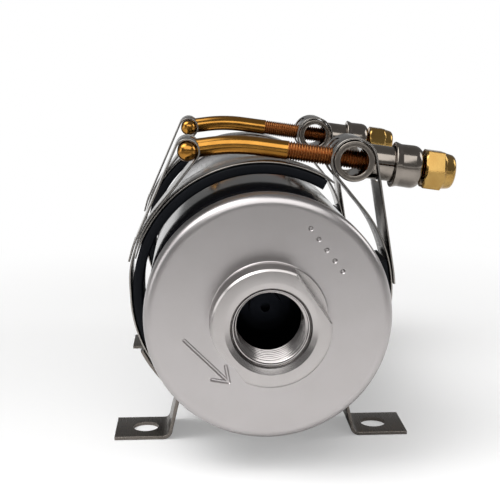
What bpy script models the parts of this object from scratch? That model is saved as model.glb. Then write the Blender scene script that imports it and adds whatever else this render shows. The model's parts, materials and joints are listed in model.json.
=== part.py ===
"""In-line electric fuel pump held by two cushioned T-bolt clamps with feet.

The pump axis runs along +Y from the inlet face, X is to the right when looking along it, and Z is up.
Pieces are placed from the inlet face on the pump axis, under one empty that stands the feet on Z = 0.
"""

import cmath
import math

import bmesh
import bpy
from mathutils import Matrix, Vector

MM = 0.001
GAP = 0.3 * MM              # room between pieces that touch
SLACK = 0.4 * MM            # room round a piece that turns or slides
BIG_STEPS = 36              # sides of large round pieces
SMALL_STEPS = 16            # sides of small ones
HOLE_STEPS = 12             # sides of drilled holes and pins
SLEEVE_STEPS = 20           # sides of the bolt's sleeve and thrust cap
TRUNNION_STEPS = 24
NUT_STEPS = 18
SEAL_STEPS = 6              # sides of an O-ring's section
LOBE_POINTS = 24            # points along one rotor lobe
TOOTH_POINTS = 16           # points along one outer rotor tooth
COIL_POINTS = 8             # points along one spring turn
RIM_STEP = 18.0             # degrees between points of the caps' rounded rim
KIDNEY_STEP = 26.0          # and of a port plate's kidney slot
BAR_STEP = 15.0             # and of a core tooth or commutator bar
MAGNET_STEP = 9.0
CROWN_STEP = 30.0
BEND_STEP = 15.0            # and of a bend in a strip
HEXAGON = 6
PLATE_HOLES = 4             # holes in the brush plate and in the valve retainer

# End caps and their threaded ports
CAP_EDGE = 3.0 * MM         # radius of the rounded rim
CAP_LAND = 6.5 * MM         # straight rim behind it
BOSS_RADIUS = 18.0 * MM
BOSS_HEIGHT = 10.5 * MM
BOSS_CHAMFER = 0.6 * MM
FLATS_WIDTH = 31.0 * MM     # across the two wrench flats
FLATS_STEP = 1.0 * MM       # round step left under the flats
FLATS_ANGLE = 35.0
PORT_RADIUS = 10.15 * MM    # inside the thread
PORT_DEPTH = 16.0 * MM
SEAL_SEAT_RADIUS = 12.2 * MM
SEAL_SEAT_DEPTH = 1.6 * MM
FACE_BEVEL = 1.7 * MM       # width of the shallow bevel round the port
FACE_BEVEL_DEPTH = 0.8 * MM
SPIGOT_LENGTH = 14.0 * MM
SPIGOT_WALL = 6.4 * MM
SEAL_WIRE = 1.3 * MM        # half the O-ring's thickness
SEAL_SETBACK = 5.0 * MM     # from the shoulder to the O-ring groove

# Body tube
BODY_RADIUS = 37.7 * MM
CAP_LIP = 0.4 * MM          # of the caps beyond the tube
BODY_LENGTH = 152.4 * MM
BODY_WALL = 4.0 * MM

# Pumping rotors and their plates
LOBES = 6
TOOTH_RING = 14.5 * MM      # radius of the circle of outer tooth centres
TOOTH_RADIUS = 4.5 * MM
ECCENTRIC = 1.2 * MM
ROTOR_CLEARANCE = 0.15 * MM
ROTOR_LENGTH = 11.4 * MM
OUTER_ROTOR_WALL = 4.3 * MM
PLATE_LENGTH = 6.0 * MM
HUB_RADIUS = 8.0 * MM
HUB_LENGTH = 5.8 * MM
NOSE_RADIUS = 5.0 * MM
NOSE_LENGTH = 2.0 * MM
NOSE_HOLE = 1.5 * MM
KIDNEY_WIDTH = 3.6 * MM
KIDNEY_SWEEP = 130.0
PIN_RADIUS = 1.0 * MM
PIN_LENGTH = 14.0 * MM

# Motor
SHAFT_RADIUS = 4.0 * MM
BUSH_WALL = 1.7 * MM
BUSH_LENGTH = 9.7 * MM
CORE_RADIUS = 20.5 * MM
CORE_LENGTH = 48.0 * MM
CORE_SLOTS = 12
CORE_SLOT_WIDTH = 2.4 * MM
CORE_SLOT_DEPTH = 8.0 * MM
WINDING_RADIUS = 18.0 * MM
WINDING_LENGTH = 8.5 * MM
COMMUTATOR_RADIUS = 10.5 * MM
COMMUTATOR_LENGTH = 13.0 * MM
BAR_SLOT_WIDTH = 0.7 * MM
BAR_SLOT_DEPTH = 0.9 * MM
AIR_GAP = 1.0 * MM
FLUX_RING_WALL = 3.2 * MM
MAGNET_SWEEP = 124.0
MAGNET_OVERHANG = 2.0 * MM
MOTOR_SETBACK = 2.0 * MM    # from the outlet plate to the first winding
BRUSH_WIDE = 5.4 * MM
BRUSH_TALL = 7.4 * MM
BRUSH_LONG = 11.0 * MM
BRUSH_WALL = 1.2 * MM
BRUSH_SPRING_ROOM = 5.0 * MM
BRUSH_PLATE_LENGTH = 5.0 * MM
BRUSH_HUB_RADIUS = 9.0 * MM
BRUSH_PLATE_HOLE = 5.0 * MM
BRUSH_PLATE_HOLE_RING = 22.0 * MM
SPRING_WIRE = 0.3 * MM
SPRING_TURNS = 3

# Outlet check valve and terminals
OUTLET_WEB = 21.0 * MM
VALVE_BORE = 9.0 * MM
SEAT_BORE = 5.0 * MM
SEAT_LENGTH = 3.0 * MM
POPPET_RADIUS = 6.8 * MM
POPPET_LENGTH = 2.5 * MM
STEM_RADIUS = 2.0 * MM
STEM_LENGTH = 7.4 * MM
VALVE_SPRING_RADIUS = 3.4 * MM
VALVE_SPRING_LENGTH = 5.4 * MM
RETAINER_LENGTH = 3.0 * MM
RETAINER_HOLE = 1.5 * MM
RETAINER_HOLE_RING = 5.7 * MM
TERMINAL_RING = 23.5 * MM
TERMINAL_ANGLE = 45.0       # each side of the top
TERMINAL_RADIUS = 2.5 * MM
TERMINAL_TAIL = 10.0 * MM   # inside the cap
TERMINAL_STANDOUT = 14.0 * MM
INSULATOR_WALL = 1.1 * MM
INSULATOR_FLANGE = 5.0 * MM
INSULATOR_FLANGE_LENGTH = 2.7 * MM
TERMINAL_NUT_FLATS = 8.0 * MM
TERMINAL_NUT_LENGTH = 4.0 * MM

# Clamps: a steel strap on a rubber liner
CLAMP_SETBACK = 20.8 * MM   # from the front cap's shoulder to the front clamp
CLAMP_SPACING = 108.0 * MM
STRAP_WIDTH = 19.05 * MM
STRAP = 0.64 * MM
BRIDGE = 0.5 * MM
LINER = 3.3 * MM
LINER_LOOSENESS = 1.7 * MM  # radial room between the liner and the body
LINER_START = 60.0
LINER_END = 374.0
BRIDGE_START = 57.0
BRIDGE_END = 164.0
STEP_OUT_START = 166.0      # where the strap has stepped out over the bridge
STEP_OUT_END = 182.0
LOOP_CLEARANCE = 6.205 * MM  # from the strap's ring to the bolt's underside at both loops
LEFT_LOOP_REACH = 24.3342 * MM   # of each loop's centre from the ring's upright middle line
RIGHT_LOOP_REACH = 30.0766 * MM
LEFT_FOLD_END = 166.0
RIGHT_FOLD_END = 3.0
ARC_STEP = 6.0

# T-bolt, trunnion, thrust cap and lock nut
BOLT_RADIUS = 3.175 * MM
BOLT_RISE = 7.0             # degrees up at the crossbar
BOLT_FALL = 7.9             # degrees down through the trunnion
BOLT_BEND = 60.0 * MM
CROSSBAR_LENGTH = 23.5 * MM
CROSSBAR_ROUND = 2.0 * MM
TRUNNION_RADIUS = 6.7 * MM
TRUNNION_WALL = 2.0 * MM
SLEEVE_RADIUS = 5.8 * MM
SLEEVE_LENGTH = 16.5 * MM
CAP_OVERLAP = 2.3 * MM      # of the thrust cap over the sleeve
THRUST_CAP_RADIUS = 7.8 * MM
THRUST_CAP_LENGTH = 10.0 * MM
THRUST_CAP_CROWN = 3.0 * MM
NUT_FLATS = 12.7 * MM
NUT_LENGTH = 10.6 * MM
NUT_COLLAR_RADIUS = 6.1 * MM
NUT_COLLAR_LENGTH = 3.6 * MM

# Feet
FOOT_DROP = 6.08 * MM       # from the strap's radius to the mounting face
FOOT_STRIP = 1.2 * MM
FOOT_SPAN = 100.0 * MM
FOOT_BEND_SPAN = 63.0 * MM
FOOT_HOLE_SPACING = 79.5 * MM
FOOT_HOLE_RADIUS = 4.4 * MM
FOOT_BEND = 2.6 * MM
SADDLE_START = 206.0
SADDLE_END = 228.0

# Places along the pump axis, from the inlet face, and radii of the pieces in the tube
SHOULDER = BOSS_HEIGHT + CAP_EDGE + CAP_LAND
BODY_START = SHOULDER + GAP
BODY_END = BODY_START + BODY_LENGTH
PUMP_LENGTH = BODY_END + GAP + SHOULDER
CAP_RADIUS = BODY_RADIUS + CAP_LIP
BORE_RADIUS = BODY_RADIUS - BODY_WALL
FIT_RADIUS = BORE_RADIUS - GAP
SPIGOT_END = SHOULDER + SPIGOT_LENGTH
INLET_PLATE_START = SPIGOT_END + GAP
ROTOR_RING_START = INLET_PLATE_START + PLATE_LENGTH + GAP
ROTOR_RING_LENGTH = ROTOR_LENGTH + 2 * GAP
ROTOR_START = ROTOR_RING_START + GAP
OUTLET_PLATE_START = ROTOR_RING_START + ROTOR_RING_LENGTH + GAP
OUTLET_PLATE_END = OUTLET_PLATE_START + PLATE_LENGTH
WINDING_START = OUTLET_PLATE_END + MOTOR_SETBACK
CORE_START = WINDING_START + WINDING_LENGTH + GAP
REAR_WINDING_START = CORE_START + CORE_LENGTH + GAP
COMMUTATOR_START = REAR_WINDING_START + WINDING_LENGTH + GAP
BRUSH_CENTRE = COMMUTATOR_START + COMMUTATOR_LENGTH / 2
BRUSH_PLATE_START = COMMUTATOR_START + COMMUTATOR_LENGTH + SLACK
BUSH_OUTER = SHAFT_RADIUS + SLACK + BUSH_WALL
FRONT_BUSH_START = INLET_PLATE_START + PLATE_LENGTH - GAP - BUSH_LENGTH
SHAFT_START = FRONT_BUSH_START + GAP
BRUSH_HUB_END = BRUSH_PLATE_START + BRUSH_PLATE_LENGTH + BUSH_LENGTH - GAP
VALVE_START = PUMP_LENGTH - BOSS_HEIGHT - OUTLET_WEB
TERMINAL_FACE = PUMP_LENGTH - BOSS_HEIGHT

# Places round the clamp ring, seen along +Y
LINER_BORE = BODY_RADIUS + LINER_LOOSENESS
LINER_OUTER = LINER_BORE + LINER
STRAP_MIDDLE = LINER_OUTER + GAP + STRAP / 2
LOOP_PIN_RING = STRAP_MIDDLE + LOOP_CLEARANCE + BOLT_RADIUS
LEFT_LOOP_ANGLE = math.degrees(math.acos(-LEFT_LOOP_REACH / LOOP_PIN_RING))
RIGHT_LOOP_ANGLE = math.degrees(math.acos(RIGHT_LOOP_REACH / LOOP_PIN_RING))
AXIS_HEIGHT = STRAP_MIDDLE + FOOT_DROP
RING_LIFT = LINER_BORE - BODY_RADIUS - GAP
BRIDGE_MIDDLE = LINER_OUTER + GAP + BRIDGE / 2
BRIDGE_STEP = BRIDGE + GAP
CENTRE = Vector((0.0, RING_LIFT))

AXIAL = (-math.pi / 2, 0.0, 0.0)       # turns local Z to +Y
AXIAL_BACK = (math.pi / 2, 0.0, 0.0)   # turns local Z to -Y
FLAT = (math.pi / 2, 0.0, 0.0)         # stands a flat outline up in the XZ plane
ALONG_BOLT = (0.0, math.radians(90 + BOLT_FALL), 0.0)
ACROSS = (0.0, math.pi / 2, 0.0)       # turns local Z to +X


class Finish:
    """Plain colours of the pieces: colour, metallic, roughness."""

    SATIN_ALUMINIUM = ("satin aluminium", (0.48, 0.45, 0.43), 1.0, 0.38)
    BLACK_ANODISED = ("black anodised aluminium", (0.012, 0.012, 0.014), 0.6, 0.18)
    STAINLESS = ("stainless strap", (0.55, 0.54, 0.52), 1.0, 0.25)
    GOLD_ZINC = ("yellow zinc steel", (0.62, 0.42, 0.14), 1.0, 0.32)
    RUBBER = ("black rubber", (0.012, 0.013, 0.018), 0.0, 0.7)
    STEEL = ("steel", (0.35, 0.35, 0.36), 1.0, 0.35)
    BRONZE = ("bronze", (0.45, 0.25, 0.10), 1.0, 0.4)
    FERRITE = ("ferrite", (0.03, 0.03, 0.032), 0.0, 0.6)
    COPPER = ("copper winding", (0.55, 0.22, 0.10), 1.0, 0.4)
    CARBON = ("carbon", (0.02, 0.02, 0.02), 0.0, 0.8)
    NYLON = ("black nylon", (0.02, 0.02, 0.02), 0.0, 0.5)
    BRASS = ("brass", (0.60, 0.42, 0.16), 1.0, 0.3)


def start_scene():
    """Remove what is in the scene and make the two collections and the frame empty."""
    for item in list(bpy.data.objects):
        bpy.data.objects.remove(item)
    groups = {}
    for name in ("fuel_pump", "cutters"):
        groups[name] = bpy.data.collections.new(name)
        bpy.context.scene.collection.children.link(groups[name])
    frame = bpy.data.objects.new("pump_frame", None)
    groups["fuel_pump"].objects.link(frame)
    return groups, frame


GROUPS, FRAME = start_scene()


def material(finish):
    """Principled material of one finish, made once."""
    name, colour, metallic, roughness = finish
    found = bpy.data.materials.get(name)
    if found:
        return found
    made = bpy.data.materials.new(name)
    made.use_nodes = True
    shader = made.node_tree.nodes["Principled BSDF"]
    shader.inputs["Base Color"].default_value = (*colour, 1.0)
    shader.inputs["Metallic"].default_value = metallic
    shader.inputs["Roughness"].default_value = roughness
    return made


def add_piece(name, mesh, finish, place=(0, 0, 0), turn=(0, 0, 0)):
    """Put a mesh in the scene under the frame; with no finish it is a cutter."""
    piece = bpy.data.objects.new(name, mesh)
    piece.parent = FRAME
    piece.location = place
    piece.rotation_euler = turn
    if finish:
        mesh.materials.append(material(finish))
        mesh.shade_smooth()
        mesh.set_sharp_from_angle(angle=math.radians(35))
        GROUPS["fuel_pump"].objects.link(piece)
    else:
        piece.hide_render = True
        piece.display_type = "WIRE"
        GROUPS["cutters"].objects.link(piece)
    return piece


def turned(name, loop, finish, place=(0, 0, 0), turn=AXIAL, steps=BIG_STEPS):
    """Turn a profile of (radius, height) points round local Z with a Screw modifier.

    A loop that starts and ends on the axis is solid, any other loop is a ring.
    """
    area = sum(a[0] * b[1] - b[0] * a[1] for a, b in zip(loop, loop[1:] + loop[:1]))
    points = loop[::-1] if area > 0 else loop
    solid = points[0][0] == 0.0 and points[-1][0] == 0.0
    edges = [(i, i + 1) for i in range(len(points) - 1)]
    if not solid:
        edges.append((len(points) - 1, 0))
    mesh = bpy.data.meshes.new(name)
    mesh.from_pydata([(radius, 0.0, height) for radius, height in points], edges, [])
    piece = add_piece(name, mesh, finish, place, turn)
    screw = piece.modifiers.new("Turn", "SCREW")
    screw.steps = steps
    screw.render_steps = steps
    screw.use_merge_vertices = True
    screw.merge_threshold = 1e-6
    screw.use_smooth_shade = True
    return piece


def rod(name, radius, start, end, finish, turn=AXIAL, place=(0, 0, 0), steps=SMALL_STEPS, chamfer=0.0):
    """Solid round bar from start to end along its local Z."""
    loop = [(0.0, start), (radius - chamfer, start), (radius, start + chamfer),
            (radius, end - chamfer), (radius - chamfer, end), (0.0, end)]
    if not chamfer:
        loop = [(0.0, start), (radius, start), (radius, end), (0.0, end)]
    return turned(name, loop, finish, place, turn, steps)


def ring(name, inner, outer, start, end, finish, turn=AXIAL, place=(0, 0, 0), steps=BIG_STEPS):
    """Plain round tube from start to end along its local Z."""
    loop = [(inner, start), (outer, start), (outer, end), (inner, end)]
    return turned(name, loop, finish, place, turn, steps)


def curve_mesh(name, data):
    """Mesh of an evaluated curve, with its caps welded on."""
    guide = bpy.data.objects.new(name, data)
    GROUPS["cutters"].objects.link(guide)
    seen = guide.evaluated_get(bpy.context.evaluated_depsgraph_get())
    mesh = bpy.data.meshes.new_from_object(seen)
    bpy.data.objects.remove(guide)
    work = bmesh.new()
    work.from_mesh(mesh)
    bmesh.ops.remove_doubles(work, verts=work.verts, dist=1e-6)
    bmesh.ops.recalc_face_normals(work, faces=work.faces)
    work.to_mesh(mesh)
    work.free()
    mesh.name = name
    return mesh


def add_spline(data, points, closed):
    """Add a straight-sided spline through points to a curve."""
    spline = data.splines.new("POLY")
    spline.points.add(len(points) - 1)
    for slot, point in zip(spline.points, points):
        slot.co = (*point, 1.0) if len(point) == 3 else (*point, 0.0, 1.0)
    spline.use_cyclic_u = closed


def plate(name, outlines, start, end, finish, place=(0, 0, 0)):
    """Flat outlines in the XZ plane, later ones holes, thick from start to end along +Y."""
    data = bpy.data.curves.new(name, "CURVE")
    data.dimensions = "2D"
    data.fill_mode = "BOTH"
    data.extrude = (end - start) / 2
    for outline in outlines:
        add_spline(data, outline, True)
    middle = Vector(place) + Vector((0, (start + end) / 2, 0))
    return add_piece(name, curve_mesh(name, data), finish, middle, FLAT)


def strip(name, path, thickness, finish, middle):
    """Sheet strip of the strap's width, along a path in the XZ plane, centred on Y = middle."""
    data = bpy.data.curves.new(name, "CURVE")
    data.dimensions = "2D"
    data.extrude = STRAP_WIDTH / 2
    add_spline(data, path, False)
    piece = add_piece(name, curve_mesh(name, data), finish, (0, middle, 0), FLAT)
    wall = piece.modifiers.new("Thickness", "SOLIDIFY")
    wall.thickness = thickness
    wall.offset = 0.0
    wall.use_even_offset = True
    return piece


def wire_mesh(name, path, radius, sides):
    """Mesh of a round wire along a path of 3-D points; sides is the curve's bevel resolution."""
    data = bpy.data.curves.new(name, "CURVE")
    data.dimensions = "3D"
    data.bevel_depth = radius
    data.bevel_resolution = sides
    data.use_fill_caps = True
    add_spline(data, path, False)
    return curve_mesh(name, data)


def block(name, size, finish, place=(0, 0, 0), turn=(0, 0, 0), bevel=0.0):
    """Box of a given size, with rounded edges where bevel is set."""
    work = bmesh.new()
    bmesh.ops.create_cube(work, size=1.0, matrix=Matrix.Diagonal((*size, 1.0)))
    mesh = bpy.data.meshes.new(name)
    work.to_mesh(mesh)
    work.free()
    piece = add_piece(name, mesh, finish, place, turn)
    if bevel:
        edge = piece.modifiers.new("Edges", "BEVEL")
        edge.width = bevel
        edge.segments = 2
    return piece


def combine(piece, tool, how):
    """Add a Boolean of a tool object to a piece."""
    step = piece.modifiers.new(how.title(), "BOOLEAN")
    step.operation = how
    step.object = tool


def cut(piece, *tools):
    """Cut tool objects out of a piece."""
    for tool in tools:
        combine(piece, tool, "DIFFERENCE")


def polar(radius, degrees, centre=(0.0, 0.0)):
    """Point at an angle round a centre."""
    angle = math.radians(degrees)
    return Vector((centre[0] + radius * math.cos(angle), centre[1] + radius * math.sin(angle)))


def arc(radius, first, last, step=ARC_STEP, centre=(0.0, 0.0)):
    """Points along an arc from the first to the last angle, both included."""
    count = max(1, math.ceil(abs(last - first) / step))
    return [polar(radius, first + (last - first) * i / count, centre) for i in range(count + 1)]


def circle(radius, count, centre=(0.0, 0.0)):
    """Points round a full circle."""
    return [polar(radius, 360.0 * i / count, centre) for i in range(count)]


def rounded(points, radius, step=BEND_STEP):
    """Path through corner points with each inner corner turned to an arc."""
    path = [points[0]]
    for before, corner, after in zip(points, points[1:], points[2:]):
        back = (before - corner).normalized()
        ahead = (after - corner).normalized()
        half = back.angle(ahead) / 2
        middle = corner + (back + ahead).normalized() * radius / math.sin(half)
        reach = radius / math.tan(half)
        start = math.degrees(math.atan2(*reversed(corner + back * reach - middle)))
        end = math.degrees(math.atan2(*reversed(corner + ahead * reach - middle)))
        sweep = (end - start + 180.0) % 360.0 - 180.0
        path += arc(radius, start, start + sweep, step, middle)
    return path + [points[-1]]


def cap_rim():
    """Outside of an end cap from the port's bevel to the inner end of its spigot, heights from its face."""
    edge = arc(CAP_EDGE, -90.0, 0.0, RIM_STEP, (CAP_RADIUS - CAP_EDGE, BOSS_HEIGHT + CAP_EDGE))
    groove = FIT_RADIUS - 2 * SEAL_WIRE - GAP
    groove_start = SHOULDER + SEAL_SETBACK
    groove_end = groove_start + 2 * SEAL_WIRE + 2 * GAP
    return [
        (SEAL_SEAT_RADIUS + FACE_BEVEL, 0.0),
        (BOSS_RADIUS - BOSS_CHAMFER, 0.0),
        (BOSS_RADIUS, BOSS_CHAMFER),
        (BOSS_RADIUS, BOSS_HEIGHT),
        *[tuple(point) for point in edge],
        (CAP_RADIUS, SHOULDER),
        (FIT_RADIUS, SHOULDER),
        (FIT_RADIUS, groove_start),
        (groove, groove_start),
        (groove, groove_end),
        (FIT_RADIUS, groove_end),
        (FIT_RADIUS, SPIGOT_END),
        (FIT_RADIUS - SPIGOT_WALL, SPIGOT_END),
    ]


def port_wall():
    """Inside of a port from the bottom of its thread out to the bevel on the face."""
    chamfer_end = FACE_BEVEL_DEPTH + SEAL_SEAT_DEPTH + (SEAL_SEAT_RADIUS - PORT_RADIUS) / 2
    return [
        (PORT_RADIUS, PORT_DEPTH),
        (PORT_RADIUS, chamfer_end),
        (SEAL_SEAT_RADIUS, FACE_BEVEL_DEPTH),
    ]


def cut_flats(cap, name, place):
    """Mill the two wrench flats on a cap's boss."""
    height = BOSS_HEIGHT - FLATS_STEP
    for side in (0, 1):
        centre = polar(FLATS_WIDTH / 2 + BOSS_RADIUS, FLATS_ANGLE + 180.0 * side)
        tool = block(f"{name}_flat_{side}", (2 * BOSS_RADIUS, 3 * BOSS_RADIUS, 2 * height), None)
        tool.location = Vector(place) + Vector((centre.x, 0.0, centre.y))
        tool.rotation_euler = (math.pi / 2, -math.radians(FLATS_ANGLE), 0.0)
        cut(cap, tool)


def make_caps():
    """Both end caps, their O-rings and the body tube between them."""
    inner = FIT_RADIUS - SPIGOT_WALL
    outlet = (0, PUMP_LENGTH, 0)
    web = [(inner, PORT_DEPTH)]
    inlet_cap = turned("inlet_cap", cap_rim() + web + port_wall(), Finish.SATIN_ALUMINIUM)
    cut_flats(inlet_cap, "inlet", (0, 0, 0))
    depth = BOSS_HEIGHT + OUTLET_WEB
    web = [(inner, depth), (VALVE_BORE, depth), (VALVE_BORE, PORT_DEPTH)]
    outlet_cap = turned("outlet_cap", cap_rim() + web + port_wall(), Finish.SATIN_ALUMINIUM,
                        outlet, AXIAL_BACK)
    cut_flats(outlet_cap, "outlet", outlet)
    seal_ring = FIT_RADIUS - SEAL_WIRE
    seal_place = SHOULDER + SEAL_SETBACK + SEAL_WIRE + GAP
    section = [tuple(point) for point in circle(SEAL_WIRE, SEAL_STEPS, (seal_ring, seal_place))]
    turned("inlet_cap_seal", section, Finish.RUBBER)
    turned("outlet_cap_seal", section, Finish.RUBBER, outlet, AXIAL_BACK)
    ring("body_tube", BORE_RADIUS, BODY_RADIUS, BODY_START, BODY_END, Finish.BLACK_ANODISED)
    return outlet_cap


def inner_lobes():
    """Inner rotor outline: a trochoid of the outer tooth centres, drawn in by the tooth radius."""
    points = []
    count = LOBES * LOBE_POINTS
    for i in range(count):
        turn = cmath.exp(2j * math.pi * i / count)
        fast = turn ** (LOBES + 1)
        centre = TOOTH_RING * turn + ECCENTRIC * fast
        heading = 1j * (TOOTH_RING * turn + (LOBES + 1) * ECCENTRIC * fast)
        point = centre + (TOOTH_RADIUS + ROTOR_CLEARANCE) * 1j * heading / abs(heading)
        points.append(Vector((point.real, point.imag)))
    return points


def outer_pocket():
    """Hole of the outer rotor: a root circle with round teeth standing into it."""
    root = TOOTH_RING + 2 * ECCENTRIC - TOOTH_RADIUS + ROTOR_CLEARANCE
    teeth = LOBES + 1
    count = teeth * TOOTH_POINTS
    points = []
    for i in range(count):
        angle = 360.0 * i / count
        off = math.radians((angle + 180.0 / teeth) % (360.0 / teeth) - 180.0 / teeth)
        under = TOOTH_RADIUS ** 2 - (TOOTH_RING * math.sin(off)) ** 2
        near = TOOTH_RING * math.cos(off) - math.sqrt(under) if under > 0 else root
        points.append(polar(min(root, near), angle))
    return points


def kidney_cutter(name, middle_angle, start, end):
    """Curved slot over the pumping chambers on one side of the rotors."""
    radius = TOOTH_RING - TOOTH_RADIUS + ECCENTRIC / 2
    first = middle_angle - KIDNEY_SWEEP / 2
    last = middle_angle + KIDNEY_SWEEP / 2
    outline = arc(radius + KIDNEY_WIDTH / 2, first, last, KIDNEY_STEP)
    outline += arc(radius - KIDNEY_WIDTH / 2, last, first, KIDNEY_STEP)
    return plate(name, [outline], start - SLACK, end + SLACK, None)


def make_pump():
    """Rotor pair, the ring round it, the two port plates and the front bush."""
    bore = SHAFT_RADIUS + SLACK
    plate_end = INLET_PLATE_START + PLATE_LENGTH
    seat = BUSH_OUTER + GAP
    nose_end = INLET_PLATE_START - HUB_LENGTH
    inlet_plate = turned("inlet_port_plate", [
        (NOSE_HOLE, nose_end - NOSE_LENGTH), (NOSE_RADIUS, nose_end - NOSE_LENGTH),
        (NOSE_RADIUS, nose_end), (HUB_RADIUS, nose_end), (HUB_RADIUS, INLET_PLATE_START),
        (FIT_RADIUS, INLET_PLATE_START), (FIT_RADIUS, plate_end), (seat, plate_end),
        (seat, FRONT_BUSH_START - GAP), (NOSE_HOLE, FRONT_BUSH_START - GAP)], Finish.STEEL)
    cut(inlet_plate, kidney_cutter("inlet_kidney", 90.0, INLET_PLATE_START, plate_end))
    ring("front_bush", bore, BUSH_OUTER, FRONT_BUSH_START, FRONT_BUSH_START + BUSH_LENGTH, Finish.BRONZE,
         steps=SMALL_STEPS)
    outer_radius = TOOTH_RING + 2 * ECCENTRIC - TOOTH_RADIUS + OUTER_ROTOR_WALL
    offset = (ECCENTRIC, 0.0, 0.0)
    pocket = circle(outer_radius + SLACK, BIG_STEPS, (ECCENTRIC, 0.0))
    plate("rotor_ring", [circle(FIT_RADIUS, BIG_STEPS), pocket], ROTOR_RING_START,
          ROTOR_RING_START + ROTOR_RING_LENGTH, Finish.STEEL)
    rotor_end = ROTOR_START + ROTOR_LENGTH
    plate("outer_rotor", [circle(outer_radius, BIG_STEPS), outer_pocket()], ROTOR_START, rotor_end,
          Finish.STEEL, offset)
    inner_rotor = plate("inner_rotor", [inner_lobes(), circle(bore, SMALL_STEPS)], ROTOR_START, rotor_end,
                        Finish.STEEL)
    outlet_plate = ring("outlet_port_plate", bore, FIT_RADIUS, OUTLET_PLATE_START, OUTLET_PLATE_END,
                        Finish.STEEL)
    cut(outlet_plate, kidney_cutter("outlet_kidney", 270.0, OUTLET_PLATE_START, OUTLET_PLATE_END))
    return inner_rotor


def slotted_disc(radius, slots, width, depth):
    """Round outline with straight slots cut in from its rim."""
    points = []
    top = math.degrees(math.asin(width / 2 / radius))
    bottom = math.degrees(math.asin(width / 2 / (radius - depth)))
    pitch = 360.0 / slots
    for i in range(slots):
        slot = (i + 1) * pitch
        points += arc(radius, i * pitch + top, slot - top, BAR_STEP)
        points += [polar(radius - depth, slot - bottom), polar(radius - depth, slot + bottom)]
    return points


def make_armature(inner_rotor):
    """Shaft, core, end windings, commutator, and the pin that drives the inner rotor."""
    bore = SHAFT_RADIUS + GAP
    shaft = rod("armature_shaft", SHAFT_RADIUS, SHAFT_START, BRUSH_HUB_END, Finish.STEEL, chamfer=GAP)
    stack = slotted_disc(CORE_RADIUS, CORE_SLOTS, CORE_SLOT_WIDTH, CORE_SLOT_DEPTH)
    plate("armature_core", [stack, circle(bore, SMALL_STEPS)], CORE_START, CORE_START + CORE_LENGTH,
          Finish.STEEL)
    for name, start in (("front_winding", WINDING_START), ("rear_winding", REAR_WINDING_START)):
        end = start + WINDING_LENGTH
        crown = WINDING_LENGTH / 3
        turned(name, [(bore, start), (WINDING_RADIUS - crown, start), (WINDING_RADIUS, start + crown),
                      (WINDING_RADIUS, end - crown), (WINDING_RADIUS - crown, end), (bore, end)],
               Finish.COPPER, steps=SMALL_STEPS)
    bars = slotted_disc(COMMUTATOR_RADIUS, CORE_SLOTS, BAR_SLOT_WIDTH, BAR_SLOT_DEPTH)
    plate("commutator", [bars, circle(bore, SMALL_STEPS)], COMMUTATOR_START,
          COMMUTATOR_START + COMMUTATOR_LENGTH, Finish.COPPER)
    middle = (0, ROTOR_START + ROTOR_LENGTH / 2, 0)
    rod("drive_pin", PIN_RADIUS, -PIN_LENGTH / 2, PIN_LENGTH / 2, Finish.STEEL, ACROSS, middle, HOLE_STEPS)
    hole_half = PIN_LENGTH / 2 + GAP
    hole = rod("drive_pin_hole", PIN_RADIUS + GAP, -hole_half, hole_half, None, ACROSS, middle, HOLE_STEPS)
    cut(shaft, hole)
    cut(inner_rotor, hole)


def make_field():
    """Flux ring and the two arc magnets inside it."""
    start = CORE_START - MAGNET_OVERHANG
    end = CORE_START + CORE_LENGTH + MAGNET_OVERHANG
    inner = FIT_RADIUS - FLUX_RING_WALL
    ring("flux_ring", inner, FIT_RADIUS, start, end, Finish.STEEL)
    for name, middle in (("upper_magnet", 90.0), ("lower_magnet", 270.0)):
        first = middle - MAGNET_SWEEP / 2
        last = middle + MAGNET_SWEEP / 2
        outline = arc(inner - GAP, first, last, MAGNET_STEP)
        outline += arc(CORE_RADIUS + AIR_GAP, last, first, MAGNET_STEP)
        plate(name, [outline], start, end, Finish.FERRITE)


def coil_path(radius, start, end):
    """Points of a helix along local Z."""
    count = SPRING_TURNS * COIL_POINTS
    turn = 360.0 * SPRING_TURNS / count
    return [(*polar(radius, turn * i), start + (end - start) * i / count) for i in range(count + 1)]


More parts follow.
